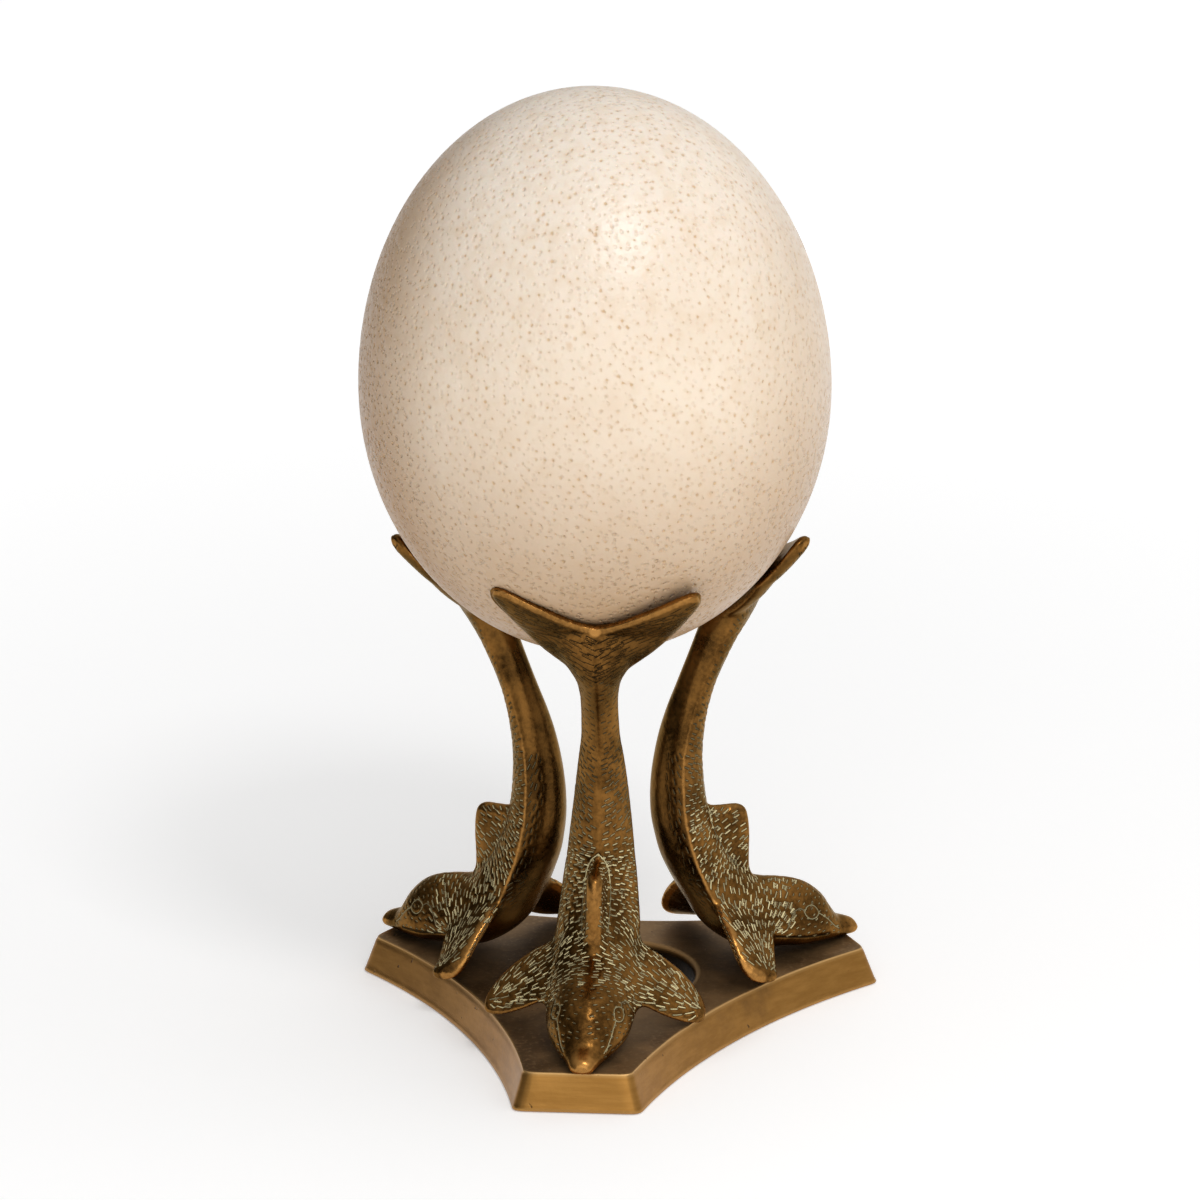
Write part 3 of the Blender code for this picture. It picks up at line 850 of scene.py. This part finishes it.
def dolphin_material(name, offset):
    """Chased bronze: brown patina in the hollows with painted shade on undersides, inner faces and fin sides,
    worn gold on the ridges, pale verdigris in the strokes with painted shade along their edges.
    """
    material, n = new_material(name)
    across, beyond, distance = n.parts(n.attribute("stroke"))
    fill, wear, hollow = n.parts(n.attribute("tone"))
    from_stroke = n.maths("POWER", n.plus(n.maths("POWER", across, 2.0), n.maths("POWER", beyond, 2.0)), 0.5)
    ragged = n.maths("MULTIPLY_ADD", n.noise(2400.0, 2.0), 0.7, -0.35)
    from_stroke = n.plus(from_stroke, ragged)
    near = n.stepped(distance, *STROKE_REACH, 1.0, 0.0)
    core, stroke_edge_shade, groove = (
        n.times(n.stepped(from_stroke, low, high, 1.0, 0.0), near)
        for low, high in ((0.75, 1.25), (1.1, 3.0), (0.4, 1.9))
    )

    cloud, grain = n.noise(70.0 + offset, 4.0, 0.6), n.noise(900.0, 3.0, 0.6)
    patchy = n.plus(n.times(cloud, 0.7), n.times(grain, 0.3))
    brown = n.mixed(n.stepped(patchy, 0.38, 0.64), PATINA_DARK, PATINA_LIGHT)
    # Painted shade: the hollow value darkens undersides, inner faces and fin sides; in the creases it is dark
    # patina.
    brown = n.mixed(n.times(hollow, 0.6), brown, PATINA_AND_PAINTED_SHADE)
    rubbed = n.stepped(n.plus(wear, n.times(n.minus(grain, 0.5), 0.45)), 0.25, 1.05)
    bronze = n.mixed(rubbed, brown, RUBBED_BRONZE)
    # Painted shade: a dark band beside each stroke, and a dark core in the groove that is patina and painted
    # shade.
    bronze = n.mixed(n.times(stroke_edge_shade, n.stepped(fill, 0.0, 0.5, 0.5, 0.8)), bronze, STROKE_SKIRT_PAINTED_SHADE)
    bronze = n.mixed(n.times(core, 0.9), bronze, STROKE_CORE_PATINA_AND_SHADE)
    pale = n.mixed(n.noise(420.0, 2.0), STROKE_FILL_DULL, STROKE_FILL_PALE)
    filled = n.times(core, fill)
    roughness = n.plus(n.stepped(patchy, 0.3, 0.7, 0.23, 0.37), n.times(filled, 0.35))
    height = n.plus(n.times(groove, -0.8), n.times(n.noise(1500.0, 3.0), 0.18))
    height = n.plus(height, n.times(n.noise(230.0, 2.0), 1.5))
    n.shade(
        Base_Color=n.mixed(filled, bronze, pale),
        Specular_Tint=BRONZE_GRAZING,
        Metallic=n.minus(1.0, n.times(filled, 0.9)),
        Roughness=n.minus(roughness, n.times(rubbed, 0.06)),
        Normal=n.bump(height, 0.8, 0.00022),
    )
    return material


def plate_material():
    """Brown satin bronze: brushed gold on the sides, dull and scratched patina on the top, and painted shade
    near black on the hole's wall.
    """
    material, n = new_material("plate_bronze_finish")
    facing = n.parts(n.add("ShaderNodeNewGeometry", {}, "True Normal"))[2]
    flat = n.stepped(facing, 0.55, 0.9)
    worn, deep, _ = n.parts(n.attribute("edge"))
    cloud, grain = n.noise(38.0, 5.0, 0.62), n.noise(700.0, 3.0, 0.6)
    streak = n.noise(40.0, 4.0, 0.65, stretch=(1.0, 3.0, 12.0))
    top = n.mixed(n.stepped(cloud, 0.34, 0.68), TOP_DARK, TOP_LIGHT)
    top = n.mixed(n.stepped(grain, 0.5, 0.72, 0.0, 0.5), top, TOP_GRAIN)
    side = n.mixed(n.stepped(streak, 0.3, 0.7), SIDE_DARK, SIDE_LIGHT)
    side = n.mixed(n.stepped(cloud, 0.60, 0.80), side, SIDE_CLOUD)
    colour = n.mixed(flat, side, top)
    colour = n.mixed(n.times(worn, 0.85), colour, PLATE_WORN)
    # Painted shade: the hole's wall is coloured near black.
    colour = n.mixed(deep, colour, PLATE_HOLE_SHADE)
    pits = n.stepped(n.noise(430.0, 1.0), 0.74, 0.80)
    height = n.plus(n.times(grain, 0.35), n.times(n.noise(140.0, 3.0), 0.8))
    n.shade(
        Base_Color=n.mixed(n.times(pits, 0.8), colour, PLATE_PIT),
        Metallic=1.0,
        Roughness=n.plus(n.stepped(cloud, 0.3, 0.7, 0.32, 0.42), n.times(flat, 0.16)),
        Normal=n.bump(n.minus(height, n.times(pits, 1.2)), 0.5, 0.00018),
    )
    return material


def egg_material():
    """Ivory eggshell with a low gloss: tan pores in shallow dimples, and a few larger stains. Painted light
    makes the crown paler, and painted shade makes the shell tan towards the bottom and sides.
    """
    material, n = new_material("egg_shell_finish")
    distance = n.length(n.attribute("pore"))
    size, tint, stain = n.parts(n.attribute("speck"))
    gap, tan, tint_squared = n.parts(n.attribute("gap"))
    wobble = n.times(n.minus(n.noise(1900.0, 2.0), 0.5), 0.35)
    edge = n.plus(n.maths("DIVIDE", distance, size), wobble)
    # Where a face has corners in two pores' cells, the offset passes through zero although no pore is
    # there. In such a face the square of the tint isn't the tint squared, which gives it away.
    between = n.minus(tint_squared, n.times(tint, tint))
    one_cell = n.stepped(between, 0.0002, 0.0012, 1.0, 0.0)
    near = n.times(n.stepped(gap, 0.62, 0.74, 1.0, 0.0), one_cell)
    near = n.maths("MAXIMUM", near, n.stepped(gap, 0.34, 0.46, 1.0, 0.0))
    pore = n.times(n.stepped(edge, 0.3, 1.5, 1.0, 0.0), near)
    halo = n.times(n.stepped(gap, 0.1, 1.15, 1.0, 0.0), n.times(tint, 0.55))
    cells = n.add("ShaderNodeTexVoronoi", {"Vector": n.place(), "Scale": 520.0}, "Distance")
    fine = n.stepped(cells, 0.08, 0.40, 1.0, 0.0)
    cloud = n.noise(28.0, 4.0, 0.55)
    ivory = n.mixed(n.stepped(cloud, 0.3, 0.72), IVORY_DULL, IVORY_LIGHT)
    # Painted light: the shell is paler towards the top.
    ivory = n.mixed(n.stepped(n.parts(n.place())[2], 0.185, 0.262, 0.0, 0.75), ivory, IVORY_PAINTED_LIGHT_CROWN)
    ivory = n.mixed(n.times(n.stepped(n.noise(190.0, 3.0), 0.42, 0.72), 0.45), ivory, IVORY_MOTTLE)
    # Painted shade: tan towards the bottom, round the left side and at the right edge.
    ivory = n.mixed(tan, ivory, SHELL_PAINTED_SHADE_TAN)
    ivory = n.mixed(halo, ivory, PORE_HALO)
    ivory = n.mixed(n.times(fine, 0.18), ivory, FINE_PORE_TAN)
    colour = n.mixed(n.times(pore, tint), ivory, PORE_TAN)
    height = n.times(pore, n.stepped(tan, 0.0, 0.7, -0.6, -1.7))
    height = n.plus(height, n.times(n.noise(380.0, 2.0), 0.9))
    height = n.minus(height, n.times(fine, n.stepped(tan, 0.0, 0.7, 0.5, 1.4)))
    n.shade(
        Base_Color=n.mixed(n.times(stain, 0.5), colour, STAIN_TAN),
        Roughness=n.stepped(cloud, 0.3, 0.7, 0.26, 0.33),
        Specular_IOR_Level=0.38,
        Subsurface_Weight=0.12,
        Subsurface_Radius=(1.0, 0.55, 0.3),
        Subsurface_Scale=0.002,
        Normal=n.bump(height, 0.8, 0.00028),
    )
    return material


def floor_material():
    """White paper that gives a little painted light of its own, except under the plate, where that leaves a
    painted shadow.
    """
    material, n = new_material("floor_paper_glowing")
    away = n.length(n.place())
    n.shade(
        Base_Color=n.mixed(n.noise(3.0, 2.0), FLOOR_DULL, FLOOR_LIGHT),
        # Painted light: the floor glows, more further from its middle, and the glow fades out within 50 mm of
        # the middle, a painted shadow under the plate.
        Emission_Strength=n.times(n.stepped(away, 0.12, 0.9, 0.21, 0.40), n.stepped(away, 0.030, 0.050)),
        Emission_Color=(1.0, 1.0, 1.0, 1.0),
        Roughness=0.65,
        Specular_IOR_Level=0.2,
    )
    return material


# ---- pieces


def sphere_grid(steps_across):
    """Directions and faces of a sphere made of six gridded faces."""
    count = steps_across + 1
    steps = np.tan(np.linspace(-math.pi / 4.0, math.pi / 4.0, count))
    one, other = np.meshgrid(steps, steps, indexing="ij")
    points, faces = [], []
    for axis, sign in itertools.product(range(3), (-1.0, 1.0)):
        start = len(points) * count**2
        face = np.zeros((count**2, 3))
        face[:, axis] = sign
        face[:, (axis + 1) % 3] = one.ravel()
        face[:, (axis + 2) % 3] = other.ravel() * sign
        points.append(unit(face))
        for i, j in itertools.product(range(steps_across), repeat=2):
            a = start + i * count + j
            faces.append((a, a + count, a + count + 1, a + 1))
    points = np.vstack(points)
    _, keep, back = np.unique(np.round(points, 6), axis=0, return_index=True, return_inverse=True)
    back = back.ravel().tolist()
    return points[keep], [tuple(back[i] for i in face) for face in faces]


def on_egg(directions):
    """Points on the egg, about the middle of its widest round."""
    half = np.where(directions[:, 2] > 0.0, EGG_UPPER_HALF, EGG_LOWER_HALF)
    return directions * np.column_stack([np.full((len(directions), 2), EGG_RADIUS), half])


def pore_spots(random):
    """Pores all over the egg, none within PORE_CLEAR of another."""
    spots = on_egg(unit(random.normal(size=(PORE_COUNT, 3))))
    tree = tree_of(spots)
    kept = np.ones(PORE_COUNT, bool)
    for index, spot in enumerate(spots.tolist()):
        if kept[index]:
            kept[[found[1] for found in tree.find_range(spot, PORE_CLEAR)]] = False
            kept[index] = True
    return spots[kept]


def stain_shares(base):
    """How deep in a stain each point is, from 0 to 1."""
    stains = np.zeros(len(base))
    for turn, lift, size in STAINS:
        level = math.cos(lift)
        towards = np.array((math.sin(turn) * level, -math.cos(turn) * level, math.sin(lift)))
        gap = np.linalg.norm(base - on_egg(towards[None])[0], axis=1)
        stains = np.maximum(stains, fade(gap, size * 0.35, size))
    return stains


def make_egg():
    """The shell, with a dimple at every pore. Each vertex also stores where its nearest pore is."""
    random = np.random.default_rng(7)
    directions, faces = sphere_grid(EGG_GRID)
    spots = pore_spots(random)
    base = on_egg(directions)
    tree = tree_of(spots)
    nearest = np.array([tree.find(point)[1] for point in base.tolist()])
    size = np.clip(random.lognormal(-1.1, 0.3, len(spots)), 0.18, 0.48)[nearest]
    tint = (random.uniform(0.12, 0.72, len(spots)) ** 1.2)[nearest]
    away = base - spots[nearest]
    gap = np.linalg.norm(away, axis=1)
    outward = unit(directions / np.array((EGG_RADIUS, EGG_RADIUS, EGG_UPPER_HALF)))
    dimple = 0.11 * np.exp(-((gap / 0.7) ** 2)) * (0.5 + size / 0.4)
    shaped = base - outward * dimple[:, None] + (0.0, 0.0, EGG_WIDEST_Z)
    piece = new_object("egg_shell", shaped, faces)
    # Painted shade: the shell is coloured tan towards the bottom, round the left side and at the right edge.
    low_shade = fade(base[:, 2], -EGG_LOWER_HALF, 0.25 * EGG_UPPER_HALF)
    left_shade = ramp(-directions[:, 0] + 0.35 * directions[:, 1], 0.15, 0.95)
    right_edge_shade = ramp(directions[:, 0], 0.6, 1.0)
    tan = np.clip(0.82 * low_shade + 0.98 * left_shade + 0.25 * right_edge_shade, 0.0, 0.95)
    set_vectors(piece, "pore", away)
    # The second value is the painted shade's share.
    set_vectors(piece, "gap", gap, tan, tint**2)
    set_vectors(piece, "speck", size, tint, stain_shares(base))
    finish_piece(piece, "egg", egg_material())


def plate_outline(reach, half_end, hollow):
    """The star seen from above: three straight ends, and hollow arcs between their corners."""
    corners = []
    for arm in range(3):
        turn = np.array(Matrix.Rotation(math.radians(120.0 * arm), 2))
        corners.append((turn @ (-half_end, -reach), turn @ (half_end, -reach)))
    points = []
    for arm in range(3):
        first_corner, start = corners[arm]
        end = corners[(arm + 1) % 3][0]
        for step in range(1, END_STEPS):
            points.append(first_corner + (start - first_corner) * step / END_STEPS)
        middle = (start + end) / 2.0
        half_chord = np.linalg.norm(end - start) / 2.0
        radius = (half_chord**2 + hollow**2) / (2.0 * hollow)
        centre = middle + middle / np.linalg.norm(middle) * (radius - hollow)
        first = math.atan2(start[1] - centre[1], start[0] - centre[0])
        last = math.atan2(end[1] - centre[1], end[0] - centre[0])
        sweep = (last - first + math.pi) % (2.0 * math.pi) - math.pi
        for step in range(HOLLOW_STEPS + 1):
            angle = first + sweep * step / HOLLOW_STEPS
            points.append(centre + radius * np.array((math.cos(angle), math.sin(angle))))
    points = np.array(points)
    for _ in range(3):  # takes the points off the corners
        points = 0.5 * points + 0.25 * (np.roll(points, 1, 0) + np.roll(points, -1, 0))
    return points


def make_plate():
    """Rings from the foot's edge up the sides, in over the top, and down the hole's wall."""
    foot, top = plate_outline(**PLATE_FOOT), plate_outline(**PLATE_TOP)
    rings, worn = [], []

    def ring(flat, z, wear=0.0, deep=0.0):
        rings.append(np.column_stack([flat, np.full(len(flat), z)]))
        worn.append(np.tile((wear, deep, 0.0), (len(flat), 1)))

    def inward(flat, amount):
        return flat * (1.0 - amount / np.linalg.norm(flat, axis=1, keepdims=True))

    ring(inward(foot, 0.35), 0.0)
    ring(inward(foot, 0.1), 0.1)
    ring(foot, 0.35, 0.3)
    for step in range(1, 9):
        share = step / 9.0
        ring(foot + (top - foot) * share, PLATE_HEIGHT * share)
    for step, wear in enumerate((0.3, 0.8, 1.0, 1.0, 0.8, 0.35)):
        angle = math.radians(18.0 * step)
        in_by, down_by = (PLATE_EDGE_ROUND * (1.0 - share) for share in (math.cos(angle), math.sin(angle)))
        ring(inward(top, in_by), PLATE_HEIGHT - down_by, wear)
    mouth_radius = PLATE_HOLE_RADIUS + PLATE_HOLE_ROUND
    inner = unit(top)
    start = inward(top, PLATE_EDGE_ROUND + 0.4)
    for step in range(44):
        share = step / 43.0
        ring(start + (inner * mouth_radius - start) * share, PLATE_HEIGHT, 0.1 if step == 0 else 0.0)
    # Down the hole's rounded mouth and wall, the second share paints shade, darker with depth.
    for step in range(1, 8):
        angle = math.radians(90.0 * step / 7.0)
        ring(
            inner * (mouth_radius - PLATE_HOLE_ROUND * math.sin(angle)),
            PLATE_HEIGHT - PLATE_HOLE_ROUND * (1.0 - math.cos(angle)),
            0.55 * math.sin(2.0 * angle),
            float(ramp(step, 3.0, 7.0)),
        )
    for z in (6.0, 3.0, 0.6, 0.2, 0.0):
        ring(inner * (PLATE_HOLE_RADIUS + (0.0 if z > 0.3 else 0.4 - z)), z, deep=1.0 if z > 0.3 else 0.5)
    count = len(top)
    points = np.vstack(rings)
    flat_top = np.abs(points[:, 2] - PLATE_HEIGHT) < 1e-6
    waves = np.array([
        math.sin(x * 0.31 + 1.7 * math.sin(y * 0.17)) * math.cos(y * 0.27 + 1.3 * math.sin(x * 0.21))
        for x, y, _ in points
    ])
    points[:, 2] -= np.where(flat_top, 0.035 * (1.0 + waves), 0.0)
    faces = []
    for row, i in itertools.product(range(len(rings)), range(count)):
        low, high, j = row * count, (row + 1) % len(rings) * count, (i + 1) % count
        faces.append((low + i, low + j, high + j, high + i))
    piece = new_object("base_star", points, faces)
    set_vectors(piece, "edge", np.vstack(worn))
    finish_piece(piece, "base_plate", plate_material())


def wear_plan(surface, normals, curve):
    """Where handling has polished the casting, where patina stays dark in creases and where shade is painted
    on undersides, inner faces and fin sides, and how deep the flukes' rims are bevelled."""
    across, out, up, folded = surface.folded()
    inward, rise = normals[:, 1], normals[:, 2]
    fin_edge = smooth_through(BACK_FIN_EDGE, 3)[:, :2]
    fin_gap = near_polyline(folded, np.column_stack([np.zeros(len(fin_edge)), fin_edge * (-1.0, 1.0)]))
    flipper = ramp(across, 12.0, 15.0) * (up < 33.0)
    flipper_back, flipper_front = (near_polyline(folded, flipper_edge(i, i + 1)) for i in (1, 3))
    keel = fade(across, 0.6, 2.2) * (rise > 0.2) * ramp(out, 40.0, 44.0) * (up < 34.0)
    outer = ramp(-inward, -0.1, 0.3) * (up > 112.0)
    below_rim = below_fluke_rim(across, up)
    above_foot = up - np.interp(across, FLUKE_TABLE[:, 0], FLUKE_TABLE[:, 1])
    notch_gap = np.hypot(across, up - 126.8)
    wear = np.maximum.reduce([
        0.85 * ramp(curve, 0.25, 1.2),
        0.6 * fade(fin_gap, 1.9, 2.8) * ramp(up, 33.0, 37.5),
        0.75 * flipper * fade(flipper_back, 2.2, 3.2),
        0.5 * flipper * fade(flipper_front, 0.9, 2.0),
        0.8 * ramp(out, 69.5, 74.5),
        0.25 * keel,
        0.6 * fade(below_rim, FLUKE_RIM - 0.5, FLUKE_RIM + 0.2) * outer,
        0.4 * outer * fade(above_foot, 0.8, 2.2) * (across > 8.0),
        1.1 * fade(notch_gap, 1.0, 2.4) * outer,
    ])
    rim_drop = 0.5 * np.clip(1.0 - below_rim / FLUKE_RIM, 0.0, 1.0) * outer
    fin_side = (fin_gap > 3.0) & (np.abs(normals[:, 0]) > 0.75) & (out > 32.0) & (up > 34.0) & (up < 55.0)
    # Painted shade on downward faces, on faces turned to the stand's axis and on the fin's sides; dark patina
    # in the creases.
    hollow = np.maximum.reduce([
        0.9 * ramp(-rise, 0.1, 0.6),
        0.6 * ramp(inward, 0.0, 0.5) * (up > 27.0),
        0.6 * (fin_side & (across < 4.0)),
        ramp(-curve, 0.05, 0.5),
    ])
    hollow = surface.blur(hollow, 3) * (1.0 - 0.6 * np.clip(wear, 0.0, 1.0))
    return wear, hollow, rim_drop


def make_dolphins():
    surface = dolphin_form()
    normals = surface.normals()
    spacing = 2.0 * DOLPHIN_VOXEL**2
    curve = -((surface.around(surface.points) - surface.points) * normals).sum(1) / spacing * 8.0
    curve = surface.blur(curve, 4)
    up = surface.points[:, 2]
    worn, hollow, rim_drop = wear_plan(surface, normals, curve)
    surface.points -= normals * rim_drop[:, None]
    for index, (name, *place) in enumerate(PLACES):
        (beside, beyond, distance, depth, fill), crease_gap = chase(surface, normals, 11 + index)
        sink = depth * np.exp(-((distance / 0.4) ** 2))
        ridge = 0.6 * fade(crease_gap, 0.15, 0.7) + 0.25 * fade(crease_gap, 0.3, 2.4)
        ridge = ridge * np.interp(up, (18.0, 30.0, 72.0, 95.0), (0.6, 1.0, 0.8, 0.3))
        wear = np.maximum(worn, ridge)
        local = surface.points - normals * sink[:, None]
        matrix = np.array(place_matrix(*place))
        placed = keep_clear(local @ matrix[:3, :3].T + matrix[:3, 3])
        piece = new_object(name + "_casting", placed, surface.faces)
        set_vectors(piece, "stroke", beside, beyond, distance)
        # tone holds the strokes' fill, the wear, and the hollows' patina and painted shade.
        set_vectors(piece, "tone", fill, wear, hollow)
        finish_piece(piece, name, dolphin_material(name + "_finish", 3.0 * index))


# ---- stage, light and camera

FLOOR_HALF = 6.0
FLOOR_DROP = 0.0002
LIGHTS_AIM = (0.0, 0.0, 0.18)
SOFTBOXES = (
    # name, place, size, power
    ("key", (0.42, -0.62, 1.15), (0.26, 0.26), 3.8),
    ("front", (0.25, -1.75, 0.80), (1.5, 1.2), 6.5),
)
CAMERA_PITCH, CAMERA_AZIMUTH, CAMERA_ROLL = (math.radians(turn) for turn in (18.24, 7.27, -1.34))
CAMERA_DISTANCE = 1.5849
CAMERA_AIM_UP = 0.12
CAMERA_LENS, CAMERA_SENSOR = 173.6, 36.0


def make_floor():
    mesh = bpy.data.meshes.new("floor")
    corners = [(x * FLOOR_HALF, y * FLOOR_HALF, 0.0) for x, y in ((-1, -1), (1, -1), (1, 1), (-1, 1))]
    mesh.from_pydata(corners, [], [(0, 1, 2, 3)])
    floor = add_to_scene("floor", mesh)
    floor.location.z = -FLOOR_DROP
    floor.data.materials.append(floor_material())


def make_softbox(name, place, size, power):
    light = bpy.data.lights.new(name, "AREA")
    light.shape = "RECTANGLE"
    light.size, light.size_y = size
    light.energy = power
    lamp = add_to_scene(name, light)
    lamp.location = place
    lamp.rotation_euler = (Vector(LIGHTS_AIM) - Vector(place)).to_track_quat("-Z", "Y").to_euler()


def make_light():
    """A white room, darker on the left and brightest overhead, with two softboxes."""
    world = bpy.data.worlds.new("studio")
    bpy.context.scene.world = world
    world.use_nodes = True
    n = Nodes(world.node_tree)
    sideways, _, upward = n.parts(n.add("ShaderNodeTexCoord", {}, "Generated"))
    glow = n.plus(n.stepped(sideways, -0.9, 0.3, 0.10, 0.60), n.stepped(upward, 0.35, 0.95, 0.0, 0.30))
    n.fill(n.tree.nodes["Background"], {"Color": (1.0, 1.0, 1.0, 1.0), "Strength": glow})
    for softbox in SOFTBOXES:
        make_softbox(*softbox)


def make_camera():
    """A long lens, 18 degrees down and 7 degrees round to the right."""
    camera = bpy.data.cameras.new("camera")
    camera.sensor_width, camera.lens = CAMERA_SENSOR, CAMERA_LENS
    camera.clip_start, camera.clip_end = 0.1, 30.0
    holder = add_to_scene("camera", camera)
    level = math.cos(CAMERA_PITCH)
    back = Vector((
        math.sin(CAMERA_AZIMUTH) * level, -math.cos(CAMERA_AZIMUTH) * level, math.sin(CAMERA_PITCH),
    ))
    aim = Vector(AXIS) * MM + Vector((0.0, 0.0, CAMERA_AIM_UP))
    turn = (-back).to_track_quat("-Z", "Y").to_matrix().to_4x4() @ Matrix.Rotation(CAMERA_ROLL, 4, "Z")
    holder.matrix_world = Matrix.Translation(aim + back * CAMERA_DISTANCE) @ turn
    bpy.context.scene.camera = holder


bpy.context.scene.view_settings.view_transform = "Standard"
make_camera()
make_light()
make_floor()
make_egg()
make_plate()
make_dolphins()
